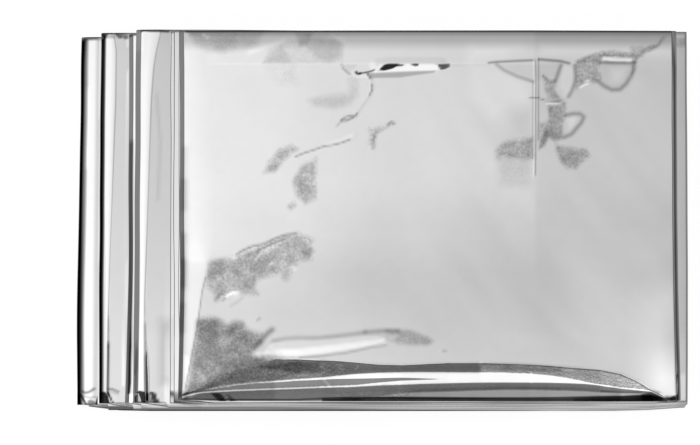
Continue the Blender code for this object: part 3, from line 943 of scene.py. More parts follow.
# %% Patches on the front roll
ROLL_PATCHES = (
    # softness, shade, grain, outline
    # the lower facets are lightly crumpled and painted a little darker as shade, with a painted shadow
    # line under the roll
    (0.5, 0.93, 0.3, -40.0, -38.0, -13.7, -36.7, 21.4, -36.3, 47.8, -37.1, 47.8, -38.0, 21.4, -37.4,
     -9.3, -38.5, -40.0, -39.4),
    (0.4, 0.9, 0.5, -11.5, -38.5, 3.9, -37.8, 12.7, -37.5, 25.8, -37.3, 39.0, -37.5, 39.0, -37.9,
     25.8, -37.8, 12.7, -38.1, 8.3, -38.5, 3.9, -39.4, -8.2, -39.8),
    (0.25, 0.45, 0.3, -13.2, -39.7, -7.1, -39.5, 3.9, -39.4, 14.9, -39.5, 30.2, -39.7, 39.0, -39.7,
     47.8, -39.5, 58.8, -39.1, 59.2, -40.5, -13.2, -40.5),
    # the crushed corner at the right: painted shade and dark reflections, with one paler painted spot
    (1.1, 0.3, 0.0, 42.3, -40.3, 47.8, -39.7, 54.4, -39.3, 58.3, -38.7, 60.1, -39.0, 61.9, -40.2,
     61.9, -41.1, 42.3, -41.1),
    (0.3, 0.6, 0.0, 47.8, -38.1, 52.6, -38.4, 56.6, -38.4, 56.6, -38.6, 52.2, -38.6, 47.8, -38.4),
    (0.2, 0.55, 0.0, 56.6, -38.9, 58.8, -38.4, 60.1, -39.0, 61.0, -39.5, 62.0, -40.3, 61.9, -41.1,
     56.6, -41.1),
    (0.15, 0.5, 0.0, 62.6, -39.9, 63.4, -39.4, 64.4, -39.0, 64.9, -39.1, 64.9, -41.1, 62.8, -41.1),
    (0.8, 1.5, 0.0, 52.2, -39.1, 58.8, -39.1, 58.8, -40.7, 52.2, -40.7),
    (0.5, 0.5, 0.0, 61.9, -39.4, 63.5, -39.4, 63.5, -41.1, 61.9, -41.1),
    # small painted shades and highlights elsewhere, some on crumpled film
    (0.8, 0.65, 0.0, -44.9, -38.3, -42.5, -38.4, -42.2, -41.1, -44.9, -41.1),
    (0.6, 0.7, 0.0, -27.3, -32.8, -22.5, -32.2, -18.5, -31.7, -13.4, -31.6, -13.4, -34.2, -18.5, -34.2,
     -23.6, -33.6),
    (0.8, 0.85, 1.2, -17.4, -7.2, -15.7, -6.9, -15.4, -9.4, -17.2, -9.6),
    (0.5, 0.8, 0.0, 21.9, -32.3, 32.4, -32.6, 39.0, -33.1, 39.0, -34.0, 32.4, -33.8, 21.9, -33.7),
    (0.8, 0.84, 1.0, 54.8, 37.6, 57.2, 37.6, 57.2, 35.6, 54.8, 35.6),
    (0.8, 1.13, 0.0, -43.4, -30.5, -42.2, -31.0, -42.0, -36.7, -43.4, -37.6),
    # the grainy right end of the front roll, a little paler as painted reflection, with painted shade
    # beside it
    (0.4, 1.08, 0.6, 21.9, -32.3, 32.4, -32.5, 39.0, -33.0, 47.8, -33.7, 52.2, -34.6, 55.9, -36.2,
     58.6, -38.0, 55.9, -37.9, 47.8, -36.9, 40.6, -35.4, 36.4, -34.7, 32.4, -34.4, 21.4, -34.1),
    (0.8, 0.9, 0.3, 25.8, -32.7, 39.0, -33.6, 47.8, -34.5, 47.8, -35.8, 39.0, -34.5, 25.8, -33.8),
)
print(len(ROLL_PATCHES), "patches on the front roll")

# %% All the lines and patches on the panel
LINES = LIP_LINES + BACK_RIGHT_LINES + LEFT_LINES + BLISTER_LINES + EDGE_LINES
PATCHES = (
    BROAD_PATCHES + BACK_LEFT_PATCHES + LIP_PATCHES + BACK_RIGHT_PATCHES + LEFT_PATCHES
    + FRONT_PATCHES + ROLL_PATCHES
)
print(len(LINES), "lines and", len(PATCHES), "patches on the panel")

# %% [markdown]
# ## Painted shade and light on the treads
# The ends of the loops are tucked in with small folds that show dark, and the film has picked up thin
# creases beside them. Their shadows and dark reflections, the glints beside them and the dark faces of the
# lower noses are painted in the same way, as painted shade and painted highlights, on whatever shows from
# above. A paint that went straight down would also mark the runs beneath, so SHOWS says how high the part
# that can be seen begins.

# %% Lines on the treads
TREAD_LINES = (
    # width, shade, path
    # a painted highlight along the right edge of the second tread, and painted shade along its crease
    (0.25, 1.13, -56.67, 41.8, -56.67, 27.5, -56.74, 5.1, -57.01, -17.2, -57.52, -36.2),
    (0.3, 0.5, -60.79, -27.3, -60.84, -31.7, -60.93, -38.7),
    # painted shade along the right fold
    (0.45, 0.8, 65.16, 39.4, 65.20, 4.0, 65.25, -18.0, 65.25, -24.7),
    (0.3, 0.84, 66.39, 39.4, 66.39, -24.7, 66.39, -36.8),
    # painted dark lines along the creases of the second and fourth treads
    (0.25, 0.8, -60.75, -20.6, -60.84, -27.3),
    (0.35, 0.62, -52.29, -29.8, -52.29, -33.6, -52.25, -38.0),
    (0.3, 0.85, -52.45, -23.1, -52.34, -29.8),
    # the two lowest noses, painted dark along their faces as the dark room they mirror
    (0.42, 0.3, -66.60, 41.3, -66.86, 36.8, -67.04, 21.1, -67.22, 5.5, -67.27, -17.0, -67.27, -39.4),
    (0.24, 0.35, -61.99, 41.9, -62.08, 36.5, -62.12, 20.9, -62.17, 5.2, -62.30, -17.2, -62.30, -37.7),
    # first tread: the dark folds of its tucked ends, painted as shadow
    (0.3, 0.62, -66.59, -37.4, -66.03, -37.7, -65.14, -37.5, -64.02, -36.8),
    (0.25, 0.8, -66.37, -38.5, -64.91, -38.8, -63.80, -38.6),
    (0.2, 0.2, -67.72, -38.0, -67.36, -38.9, -67.00, -40.2),
    (0.2, 0.2, -67.03, -38.1, -66.41, -39.2, -65.83, -40.2),
    # second tread: the dark folds of its tucked ends, painted as shadow
    (0.28, 0.68, -60.65, -37.0, -59.87, -37.0, -59.21, -37.3, -58.54, -37.6),
    (0.25, 0.88, -60.10, -37.6, -58.76, -38.1),
    (0.2, 0.22, -60.81, -37.8, -60.32, -38.9, -59.83, -40.0),
    (0.25, 0.45, -62.63, 42.2, -62.10, 42.6, -60.76, 42.7, -60.31, 42.6),
    # fourth tread: painted dark lines at its tucked ends, and faint painted shade
    (0.2, 0.5, -55.08, -40.2, -53.20, -40.2, -49.21, -40.2),
    (0.22, 0.4, -53.41, 42.4, -52.97, 42.6, -51.42, 42.4, -49.64, 42.4, -47.43, 42.3),
    (0.35, 0.93, -50.08, 28.7, -49.19, 18.0, -49.63, 4.7),
    # upper folds: painted dark lines at their tucked front ends
    (0.3, 0.5, -46.79, -37.9, -46.24, -39.0, -45.80, -40.3),
    (0.3, 0.4, -45.06, -38.4, -44.73, -39.5, -45.28, -40.7),
)
print(len(TREAD_LINES), "lines on the treads")

# %% Patches on the first two treads
FRONT_TREAD_PATCHES = (
    # softness, shade, grain, outline
    # first tread: a paler painted reflection, a painted shadow where the second nose lies over it, and its
    # tucked ends painted dark as shadow
    (0.5, 1.13, 0.0, -66.46, 30.1, -65.50, 30.1, -65.50, 12.2, -66.46, 12.2),
    (0.5, 0.88, 0.0, -63.90, 43.5, -63.01, 43.5, -63.35, -40.3, -64.35, -40.3, -64.24, -26.0),
    (0.12, 0.2, 0.0, -67.76, -38.0, -67.37, -38.5, -67.01, -40.4, -68.54, -40.4, -68.45, -39.4),
    (0.3, 0.55, 0.0, -65.59, -40.0, -65.37, -39.4, -64.81, -39.2, -64.14, -39.5, -63.58, -39.9,
     -63.58, -40.8, -65.59, -40.8),
    (0.3, 0.62, 0.0, -66.48, 42.2, -63.58, 42.2, -63.69, 41.6, -65.14, 41.4, -66.04, 41.5),
    # second tread: its tucked ends painted dark as shadow, with one small painted highlight
    (0.2, 0.2, 0.0, -63.78, -40.6, -63.54, -39.3, -63.23, -38.4, -62.56, -37.7, -61.89, -37.6,
     -61.35, -37.7, -60.95, -38.6, -60.60, -39.5, -60.46, -40.6),
    (0.2, 1.8, 0.0, -63.00, -39.2, -62.56, -39.0, -62.42, -39.3, -62.87, -39.4),
    (0.3, 0.55, 0.0, -62.55, 42.3, -61.88, 42.6, -61.08, 42.5, -61.43, 41.7, -61.88, 41.2, -62.43, 41.6),
    (0.3, 0.45, 0.0, -59.86, 42.6, -58.97, 42.6, -58.31, 42.4, -57.99, 41.6, -58.53, 41.3, -59.20, 41.8),
    (0.3, 0.55, 0.0, -57.95, 41.6, -57.99, 42.5, -57.41, 42.3, -56.52, 42.0, -55.63, 42.2, -55.50, 41.7,
     -56.30, 41.4, -57.41, 41.2),
)
print(len(FRONT_TREAD_PATCHES), "patches on the first two treads")

# %% Patches on the fourth tread
FOURTH_TREAD_PATCHES = (
    # softness, shade, grain, outline
    # the tucked front end of the fourth tread: its small folds painted dark as shadow
    (0.12, 0.22, 0.0, -54.22, -37.9, -53.64, -37.6, -52.49, -37.8, -52.18, -38.9, -52.27, -40.5,
     -53.11, -40.5, -53.42, -39.3, -53.82, -38.2),
    (0.12, 0.3, 0.0, -55.28, -40.5, -54.88, -39.3, -54.35, -38.4, -54.08, -38.6, -54.35, -39.6,
     -54.39, -40.5),
    (0.15, 0.72, 0.0, -54.04, -38.5, -53.77, -38.5, -53.11, -40.5, -54.26, -40.5),
    (0.2, 0.66, 0.0, -52.09, -38.1, -51.42, -38.1, -50.80, -40.5, -52.18, -40.5),
    (0.2, 0.3, 0.0, -51.42, -37.8, -50.32, -37.9, -49.30, -40.2, -49.25, -40.6, -50.67, -40.5,
     -50.94, -39.1),
)
print(len(FOURTH_TREAD_PATCHES), "patches on the fourth tread")

# %% Patches on the folds
FOLD_PATCHES = (
    # softness, shade, grain, outline
    # the right fold's ends: crumpled and darkened as painted shade, with one small painted highlight
    (0.4, 0.66, 0.6, 64.63, -38.6, 65.29, -38.5, 65.95, -38.8, 67.27, -38.5, 67.27, -41.5, 64.63, -41.5),
    (0.2, 0.5, 0.0, 65.29, -39.5, 65.73, -39.1, 66.17, -39.7, 65.73, -40.4),
    (0.15, 1.5, 0.0, 64.98, -39.5, 65.29, -39.1, 65.38, -39.3, 65.16, -39.9),
    (0.4, 0.8, 0.5, 65.95, 40.3, 66.94, 40.3, 66.94, 38.5, 66.31, 38.7),
    # painted shade on the folds beside the panel
    (0.3, 0.6, 0.0, -45.39, -38.4, -44.62, -38.3, -44.40, -40.9, -45.61, -40.9),
    (0.12, 0.42, 0.0, -55.65, -22.3, -55.56, -27.4, -55.67, -31.2, -55.61, -35.7, -55.92, -38.1,
     -56.32, -38.1, -56.27, -35.7, -56.10, -31.2, -55.87, -26.7),
    (0.4, 0.6, 0.0, -54.44, -27.5, -54.04, -28.7, -54.13, -32.2, -54.35, -35.3, -54.44, -38.0,
     -55.01, -38.0, -54.88, -34.4, -54.66, -30.9),
    # the third nose is painted darkest along its middle, as the dark room it mirrors
    (0.6, 0.55, 0.0, -56.21, 18.4, -55.33, 18.4, -55.33, -28.5, -55.68, -37.9, -56.21, -37.9,
     -56.44, -28.5),
    # painted changes of reflected tone over wider places
    (0.8, 1.13, 0.0, -54.52, 42.1, -53.41, 42.1, -53.41, 38.1, -54.52, 38.1),
    (1.5, 0.88, 0.0, -49.20, -22.0, -46.76, -22.0, -46.76, -36.2, -49.20, -36.2),
    (0.6, 1.13, 0.0, 64.90, -26.4, 66.39, -26.4, 66.39, -38.4, 64.90, -38.4),
    (0.8, 0.62, 0.0, -46.38, -38.1, -42.85, -38.1, -42.85, -40.9, -46.38, -40.9),
)
print(len(FOLD_PATCHES), "patches on the folds")

# %% Where the strip shows
TREAD_PATCHES = FRONT_TREAD_PATCHES + FOURTH_TREAD_PATCHES + FOLD_PATCHES
SHOWS = (
    # X, the height above which the strip shows there
    (-68.5, 1.6), (-63.3, 2.6), (-63.2, 4.9), (-56.8, 4.9), (-56.7, 7.4), (-55.1, 7.4), (-55.0, 9.8),
    (-47.2, 9.8), (-47.1, 11.4), (-46.3, 11.4), (-46.2, 13.2), (-44.0, 13.2), (55.0, 17.2), (70.0, 17.2),
)
PANEL_SHOWS = 17.5
print(len(TREAD_PATCHES), "patches on the treads")

# %% [markdown]
# ## The top panel's front edge
# Along its front edge the top panel rolls over in flat facets, as stiff film does. A bevel
# would make them all alike. Here one row gives the Y of the creases between the facets at one
# X, from the panel down to the edge, and the facets widen, narrow and run out between rows.

# %% The creases of the front roll
ROLL = (
    # X, dark facet, bright facet, wedge, second bright, lower facet, groove, ledge, edge
    (-43.6, -38.54, -38.74, -38.89, -39.13, -39.31, -40.02, -40.10, -40.68),
    (-40.3, -36.71, -38.01, -38.14, -38.49, -38.65, -40.02, -40.10, -40.68),
    (-36.5, -34.94, -37.37, -37.52, -38.23, -38.38, -40.02, -40.10, -40.68),
    (-32.6, -33.62, -36.71, -36.88, -37.99, -38.16, -40.02, -40.10, -40.68),
    (-28.6, -32.30, -36.31, -36.49, -37.83, -38.01, -40.02, -40.10, -40.68),
    (-23.6, -31.09, -35.96, -36.16, -37.63, -37.81, -40.02, -40.10, -40.68),
    (-18.7, -31.20, -35.61, -35.83, -37.46, -37.63, -40.02, -40.10, -40.68),
    (-13.7, -31.46, -35.32, -35.61, -37.24, -37.41, -39.88, -39.93, -40.46),
    (-10.4, -31.55, -34.94, -35.43, -37.13, -37.33, -39.79, -39.84, -40.37),
    (-6.2, -31.90, -34.55, -35.38, -36.97, -37.21, -39.57, -39.62, -40.32),
    (-0.5, -32.43, -34.24, -35.27, -36.40, -36.88, -39.13, -39.18, -40.32),
    (4.3, -32.54, -34.15, -35.19, -36.00, -36.75, -38.43, -38.47, -40.35),
    (8.3, -32.36, -34.11, -35.30, -35.85, -36.58, -37.85, -38.30, -40.39),
    (14.4, -32.06, -34.15, -35.52, -35.65, -36.42, -37.63, -38.16, -40.43),
    (21.4, -32.06, -34.19, -35.56, -35.58, -36.29, -37.41, -37.90, -40.43),
    (26.3, -32.19, -34.22, -35.56, -35.58, -36.27, -37.28, -37.79, -40.43),
    (32.4, -32.41, -34.46, -35.56, -35.58, -36.29, -37.28, -37.79, -40.39),
    (36.4, -32.65, -34.81, -35.69, -35.72, -36.33, -37.33, -37.85, -40.32),
    (40.6, -33.03, -35.47, -35.96, -35.98, -36.44, -37.46, -37.99, -40.28),
    (44.5, -33.33, -36.24, -36.36, -36.38, -36.62, -37.63, -38.12, -40.24),
    (46.0, -33.44, -36.55, -36.58, -36.60, -36.75, -37.77, -38.25, -40.19),
    (47.8, -33.58, -36.93, -36.93, -36.93, -36.93, -37.94, -38.38, -40.15),
    (52.2, -34.50, -37.59, -37.59, -37.59, -37.59, -38.25, -38.47, -40.10),
    (55.9, -36.13, -37.94, -37.94, -37.94, -37.94, -38.34, -38.52, -40.02),
    (58.8, -37.94, -38.32, -38.32, -38.32, -38.32, -38.43, -38.52, -39.93),
    (60.1, -38.65, -38.82, -38.85, -38.87, -38.89, -38.96, -39.04, -40.28),
    (61.6, -39.49, -39.57, -39.60, -39.62, -39.64, -39.71, -39.79, -40.50),
    (63.0, -39.57, -39.64, -39.66, -39.68, -39.71, -39.77, -39.84, -40.50),
    (64.5, -38.96, -39.04, -39.07, -39.09, -39.13, -39.20, -39.27, -40.32),
)
print("the roll is given at", len(ROLL), "places")

# %% The fall of the front roll
DARK_FACET = ((-20.3, 8.6), (-11.5, 9.2))  # X, degrees
FACETS = (13.0, 9.4, 13.0, 18.2, 20.5, 16.6)  # degrees of the others, from the bright one down
LEDGE = 6
EDGE_FALL = ((-12.6, 18.0), (-3.8, 31.0))  # X, degrees
# how gently the roll starts, in mm: rounded at the left, a crisp crease from there on
ROLL_START = ((-40.0, 2.4), (-30.2, 2.0), (-23.6, 0.6), (-18.1, 0.12))
FRONT_RISE = 2.0  # the pillow rises this many degrees towards the roll
LAST_STRETCH, EDGE_DEPTH = 0.75, 2.0


def front_roll(x, y):
    """How far the front roll has fallen, at places in mm."""
    tops = [along(x, ROLL, column) for column in range(1, 9)]
    steep = np.tan(np.radians(along(x, DARK_FACET))) + slope(FRONT_RISE)
    fallen = steep * (bend(tops[0] - y, along(x, ROLL_START)) - np.clip(tops[1] - y, 0.0, None))
    for k, degrees in enumerate(FACETS, 1):
        high, low = tops[k], tops[k + 1]
        if k == LEDGE:
            low = low + LAST_STRETCH
        deep = np.clip(high - y, 0.0, np.maximum(high - low, 0.0))
        fallen += (slope(degrees) + slope(FRONT_RISE)) * deep
    last = tops[-1] + LAST_STRETCH
    edge = np.tan(np.radians(along(x, EDGE_FALL)))
    return fallen + edge * np.clip(last - y, 0.0, EDGE_DEPTH)


middle, front = np.zeros(1), np.full(1, -40.0)
print("the roll falls", round(float(front_roll(middle, front)[0]), 2), "mm at the middle")

# %% [markdown]
# ## The top panel
# The panel is a low pillow of trapped air. It falls a little to its left fold in one facet
# with a crisp crease, and rounds over quickly at the back. The outer ply is wrapped over from
# the back and its free edge lies on top as a fine step. Cloth simulation gives pillows easily,
# but not one with these few straight creases, so each slope is written down.

# %% The pillow
BEVEL = (
    # Y, X of the crease, softness in mm, degrees
    (-42.44, -44.4, 0.3, 4.0), (-38.69, -43.3, 0.3, 4.0), (-23.70, -40.6, 0.3, 4.0),
    (-16.42, -39.6, 0.4, 3.5), (-9.81, -38.3, 1.0, 3.0), (-4.96, -38.9, 2.0, 1.8),
    (8.27, -40.0, 3.0, 1.2), (25.91, -40.7, 3.0, 1.2), (38.04, -42.0, 2.0, 1.2), (41.34, -43.1, 1.0, 1.2),
)
CROWN = 0.75
CROWN_X, CROWN_FALL = 20.0, 0.0001  # from there to the left it falls with the square
RIDGE_X = 33.6  # over the end of the turned-under strip
BACK_Y = 41.3


def pillow(x, y):
    """Height of the pillow, the left facet and the back edge."""
    height = CROWN - CROWN_FALL * np.clip(CROWN_X - x, 0.0, None) ** 2
    # it sinks past the ridge, most at the back, and lifts at the front right corner
    height -= slope(1.7) * bend(x - RIDGE_X, 0.5) * smooth((y + 24.8) / 36.0)
    # it rises a little to the back and to the front
    height += slope(1.0) * bend(y - 2.0, 4.0) + slope(FRONT_RISE) * bend(-8.0 - y, 4.0)
    height += slope(3.4) * bend(x - 56.6, 4.0) * smooth((-21.49 - y) / 14.0)
    # the facet at the left
    crease, soft, fall = [along(y, BEVEL, column) for column in (1, 2, 3)]
    height -= np.tan(np.radians(fall)) * bend(crease - x, soft)
    # the back edge: a gentle roll, then a steep one
    behind = BACK_Y - y
    return height - slope(31.0) * np.clip(0.5 - behind, 0.0, None) - slope(7.0) * bend(3.5 - behind, 1.1)


print("crown of the pillow:", round(float(pillow(np.zeros(1), np.zeros(1))[0]), 2), "mm")

# %% What the relief adds to the panel
PLY_EDGE, PLY_STEP = 33.85, 0.012
PLY_FROM, PLY_TO = -38.9, 58.8
STREAK, SAG = 0.012, 0.03  # heights of the slanting streaks and of the broad unevenness


def panel_relief(stations, x, y):
    """Heights of the whole top panel, over the level of its run."""
    share = np.array([s.pillow for s in stations])[:, None]
    base = pillow(x, y) - front_roll(x, y)
    over_ply = smooth((y - PLY_EDGE) / 0.3 + 0.5)
    inside = smooth((x - PLY_FROM) / 3.0) * smooth((PLY_TO - x) / 3.0)
    streaks = STREAK * ripple(0.8 * x + 0.6 * y, (0.8 * y - 0.6 * x) / 4.5, 5.0, 1.5)
    streaks = streaks * smooth(x / 25.0) + SAG * ripple(x, y, 14.0, 7.5)
    quiet = smooth((PLY_EDGE + 2.0 - y) / 6.0) * smooth((y + 30.0) / 5.0)
    return share * (base + PLY_STEP * over_ply * inside + streaks * quiet + ridges_at(x, y))


print("the outer ply is a step of", PLY_STEP, "mm")

# %% Build the top panel
SPACING = 0.32, 0.42, 0.14  # near the ends, between them, over the turned-under end


def panel(start, end):
    """The top panel's stations: it climbs to the right, over the turned-under end."""
    ends, plain, fine = SPACING
    places = spaced(
        (start.x, -37.0, ends), (-37.0, 32.6, plain), (32.6, 34.9, fine), (34.9, 58.0, plain),
        (58.0, end.x, ends),
    )
    middle = (start.x + end.x) / 2.0
    near = [TOP - 1 if x < middle else TOP for x in places]
    level = PANEL_LEVEL
    return [Station(x, level, level, fold, pillow=1.0) for x, fold in zip(places[1:-1], near[1:-1])]


turn = loop(TOP - 1)
turn_left, turn_right = turn[len(turn) // 2:], loop(TOP)
rows = turn_left + panel(turn_left[-1], turn_right[0]) + turn_right
tail = Station(FOLDS[TOP][REACH] - TURN_UNDER, TOP, TOP, TOP)
rows += run(rows[-1], tail, 4.0) + [tail]
places_top = spaced(
    (-41.0, -40.4, 0.15), (-40.4, -31.0, 0.2), (-31.0, 26.0, 0.45), (26.0, 36.5, 0.22),
    (36.5, 39.8, 0.35), (39.8, 40.85, 0.13),
)
across, off, shift = run_outline(places_top, spaced((40.8, -40.8, 8.0)))
top_panel = closed_sheet("top_panel", carried(rows, across, off, shift, panel_relief))

# %% [markdown]
# ## Painting the shades
# Every point of a mesh gets two numbers. The shade, which holds the painted shade, shadows, highlights and
# reflections, is the product of all the lines and patches that reach it, and the grain is the strongest.
# They could be painted by hand in the viewport, but from tables they come out the same on every run.

# %% Read the shades at places


def shade_at(x, y, lines, patches):
    """The painted shade and the grain of the film at places in mm."""
    shade, grain = np.ones_like(x), np.zeros_like(x)
    for width, level, *numbers in lines:
        near, away, side = path_reading(x, y, path_of(numbers), 2.5 * width)
        shade[near] *= 1.0 + (level - 1.0) * np.exp(-((away / width) ** 2))
    for soft, level, crumple, *numbers in patches:
        outline = path_of(numbers)
        near, away, side = path_reading(x, y, outline + outline[:1], soft + 0.1)
        inside = inside_reading(x[near], y[near], outline)
        depth = np.where(inside, away, -away)
        filled = smooth(depth / soft / 2.0 + 0.5)
        shade[near] *= 1.0 + (level - 1.0) * filled
        grain[near] = np.maximum(grain[near], crumple * filled)
    return shade, grain


def places_of(piece):
    """The points of a piece in mm, as three rows."""
    places = np.empty(3 * len(piece.data.vertices), np.float32)
    piece.data.vertices.foreach_get("co", places)
    return places.reshape(-1, 3).T.astype(float) / MM


def keep(piece, name, values):
    """Store a number for every point of a piece, for its finish to read."""
    layer = piece.data.attributes.new(name, "FLOAT", "POINT")
    layer.data.foreach_set("value", values)


x, y, z = places_of(top_panel)
print(int(np.sum(z > PANEL_SHOWS)), "points of the panel can be seen from above")

# %% [markdown]
# ## The front wall
# Along the front the pleated edges of all the runs lie over one another, and every leaf catches the room a
# little differently. More leaves would show that and cost a great many faces. So the leaves get an uneven
# painted shade that stands in for those reflections, with a painted shadow low down where the packet meets
# the floor, a paler painted band and a painted highlight high up at the right.

# %% The front wall
WALL_Y = -40.5
# UNEVEN_WALL is how much the painted reflections of the leaves vary, and BAND is a paler band of painted
# reflection
UNEVEN_WALL = 0.16
BAND, BAND_FROM, BAND_TO = 0.1, 8.0, 13.0  # a paler band: by how much, and its Z
WALL_SHADES = (
    # change, Z and over how far it comes in, X and over how far; down or to the left if negative
    # painted shade low down towards the left, darkest at the foot where the packet meets the floor, and a
    # painted highlight high up at the right
    (-0.42, 5.4, -2.0, 34.0, -30.0),
    (-0.2, 12.6, -1.6, 4.0, -16.0),
    (-0.34, 3.0, -1.2, 39.0, -8.0),
    (0.3, 13.0, 1.0, 47.8, 2.0),
)


def wall_shade(x, y, z):
    """The painted shade of the leaves along the front: a painted shadow low down and uneven painted
    reflections.
    """
    front = smooth((WALL_Y - y) / 0.2)
    shade = 1.0 + UNEVEN_WALL * front * ripple(x / 7.0, z * 1.3, 2.4, 9.5)
    band = BAND * front * smooth((z - BAND_FROM) / 1.5) * smooth((BAND_TO - z) / 1.5)
    shade *= 1.0 + band * smooth((x - 6.0) / 8.0)
    for change, high, over_z, out, over_x in WALL_SHADES:
        shade *= 1.0 + change * front * smooth((z - high) / over_z) * smooth((x - out) / over_x)
    return shade


corner = [np.full(1, value) for value in (0.0, -41.0, 2.0)]
print("shade low on the front wall:", round(float(wall_shade(*corner)[0]), 2))

# %% Store the shades
for piece, lines, patches in ((strip, TREAD_LINES, TREAD_PATCHES), (top_panel, LINES, PATCHES)):
    x, y, z = places_of(piece)
    shade, grain = shade_at(x, y, lines, patches)
    shows = z > (along(x, SHOWS) if piece == strip else PANEL_SHOWS)
    shade, grain = np.where(shows, shade, 1.0), np.where(shows, grain, 0.0)
    if piece == strip:
        shade *= wall_shade(x, y, z)
    keep(piece, "shade", shade)
    keep(piece, "crumple", grain)
    print(piece.name, "shades from", round(shade.min(), 2), "to", round(shade.max(), 2))

# %% [markdown]
# ## Silver foil
# The film is polyester with a skin of aluminium, so it is a plain mirror: fully metallic, very smooth and
# a little grey. A glossy white would lose the hard edges of its reflections. The stored shade, which holds
# the painted shade, shadows and highlights, makes its colour darker or paler. Where the stored grain is
# high, a fine noise mottles the colour, roughens it and moves the bump, which is how crumpled film looks
# from a metre off.

# %% Helpers for finishes


def wired(tree, kind, given, result, **settings):
    """Add a node, set its inputs or link them to sockets, and return one of its outputs."""
    node = tree.nodes.new("ShaderNode" + kind)
    for name, value in settings.items():
        setattr(node, name, value)
    for name, value in given.items():
        if isinstance(value, bpy.types.NodeSocket):
            tree.links.new(value, node.inputs[name])
        else:
            node.inputs[name].default_value = value
    return node.outputs[result]


def calc(tree, operation, first, second):
    """Arithmetic on numbers or sockets."""
    return wired(tree, "Math", {0: first, 1: second}, 0, operation=operation)


def new_material(name):
    """A material and its one shader."""
    material = bpy.data.materials.new(name)
    material.use_nodes = True
    return material, material.node_tree.nodes["Principled BSDF"]


print("helpers for finishes are ready")

# %% The painted shade and crumple effect
SILVER = 0.76  # how pale plain film is
GAMMA = 2.2  # shades are in display tone and colours in light
FINE, BROAD = 1900.0, 420.0  # noise scales
MOTTLE, UNEVEN = 0.3, 0.02
ROUGH, ROUGHER = 0.045, 0.14  # of plain film, and how much more where it is crumpled
SOCKETS = (
    ("INPUT", "Shade", "Float"), ("INPUT", "Crumple", "Float"), ("INPUT", "Place", "Vector"),
    ("OUTPUT", "Color", "Color"), ("OUTPUT", "Height", "Float"), ("OUTPUT", "Roughness", "Float"),
)


def painted_shade_and_crumple():
    """A shared effect: from the painted shade, the paler or darker colour, and from the crumple, the grain
    it gives.
    """
    group = bpy.data.node_groups.new("painted_shade_and_crumple", "ShaderNodeTree")
    for way, name, kind in SOCKETS:
        group.interface.new_socket(name, in_out=way, socket_type="NodeSocket" + kind)
    inputs = group.nodes.new("NodeGroupInput").outputs
    outputs = group.nodes.new("NodeGroupOutput").inputs

    def do(operation, first, second):
        return calc(group, operation, first, second)

    def grain(scale):
        noise_in = {"Vector": inputs["Place"], "Scale": scale, "Detail": 2.0}
        return do("SUBTRACT", wired(group, "TexNoise", noise_in, "Fac"), 0.5)

    fine, broad = grain(FINE), grain(BROAD)
    crumple = inputs["Crumple"]
    mottle = do("MULTIPLY", do("MULTIPLY", do("ADD", fine, broad), MOTTLE), crumple)
    shade = do("ADD", do("ADD", inputs["Shade"], mottle), do("MULTIPLY", broad, UNEVEN))
    light = do("MULTIPLY", do("POWER", do("MAXIMUM", shade, 0.0), GAMMA), SILVER)
    light = do("MINIMUM", light, 1.0)
    color = wired(group, "CombineColor", {0: light, 1: light, 2: light}, 0)
    rough = do("ADD", do("MULTIPLY", crumple, ROUGHER), ROUGH)
    for name, value in (("Color", color), ("Height", do("MULTIPLY", fine, crumple)), ("Roughness", rough)):
        group.links.new(value, outputs[name])
    return group


# the effect turns the painted shade into colour and the crumple into grain
shade_and_crumple_effect = painted_shade_and_crumple()
print("crumple effect:", len(shade_and_crumple_effect.nodes), "nodes")

# %% Silver foil
BUMP_HEIGHT = 0.00002


def silver_foil(name):
    """Bright metallised film that reads the painted shade and the crumple of its points."""
    material, shader = new_material(name)
    tree = material.node_tree
    effect = tree.nodes.new("ShaderNodeGroup")
    effect.node_tree = shade_and_crumple_effect
    for name, attribute in (("Shade", "shade"), ("Crumple", "crumple")):
        stored = wired(tree, "Attribute", {}, "Fac", attribute_name=attribute)
        tree.links.new(stored, effect.inputs[name])
    tree.links.new(wired(tree, "TexCoord", {}, "Object"), effect.inputs["Place"])
    bump = wired(tree, "Bump", {"Height": effect.outputs["Height"], "Distance": BUMP_HEIGHT}, "Normal")
    shader.inputs["Metallic"].default_value = 1.0
    tree.links.new(effect.outputs["Color"], shader.inputs["Base Color"])
    tree.links.new(effect.outputs["Roughness"], shader.inputs["Roughness"])
    tree.links.new(bump, shader.inputs["Normal"])
    return material


foil = silver_foil("silver_foil")
for piece in (strip, top_panel):
    piece.data.materials.append(foil)
print("the foil is on", foil.users, "pieces")

# %% [markdown]
# ## The floor
# The packet lies on a white sheet that runs out of sight. It could be lit by the room alone,
# but the room is painted for the foil and would leave the sheet grey, so the sheet glows by
# itself. The foil doesn't mirror it.

# %% Floor
FLOOR_GREY, FLOOR_GLOW, FLOOR_GAP = 0.25, 0.9, 0.0002

bm = bmesh.new()
bmesh.ops.create_grid(bm, x_segments=1, y_segments=1, size=6.0)
floor = made("floor", bm)
floor.location.z = -FLOOR_GAP
floor.visible_glossy = False
floor_paint, paint = new_material("floor")
paint.inputs["Base Color"].default_value = (FLOOR_GREY, FLOOR_GREY, FLOOR_GREY, 1.0)
paint.inputs["Roughness"].default_value = 1.0
paint.inputs["Emission Color"].default_value = (1.0, 1.0, 1.0, 1.0)
paint.inputs["Emission Strength"].default_value = FLOOR_GLOW
floor.data.materials.append(floor_paint)
print("floor", [round(v, 1) for v in floor.dimensions[:2]], "m")

# %% [markdown]
# ## The room
# Lamps would give a mirror only small hot spots, so the light is the room itself. What foil
# shows depends only on which way it is tipped, so the room is painted by that: one ramp for
# foil tipped from side to side and one for foil tipped from front to back, multiplied. Low
# down, towards the horizon, the room is an even grey, so that from the side the packet reads
# as silver.

# %% Helpers for the room
OVERHEAD = 0.84  # tone of level film
STRENGTH = 2.0

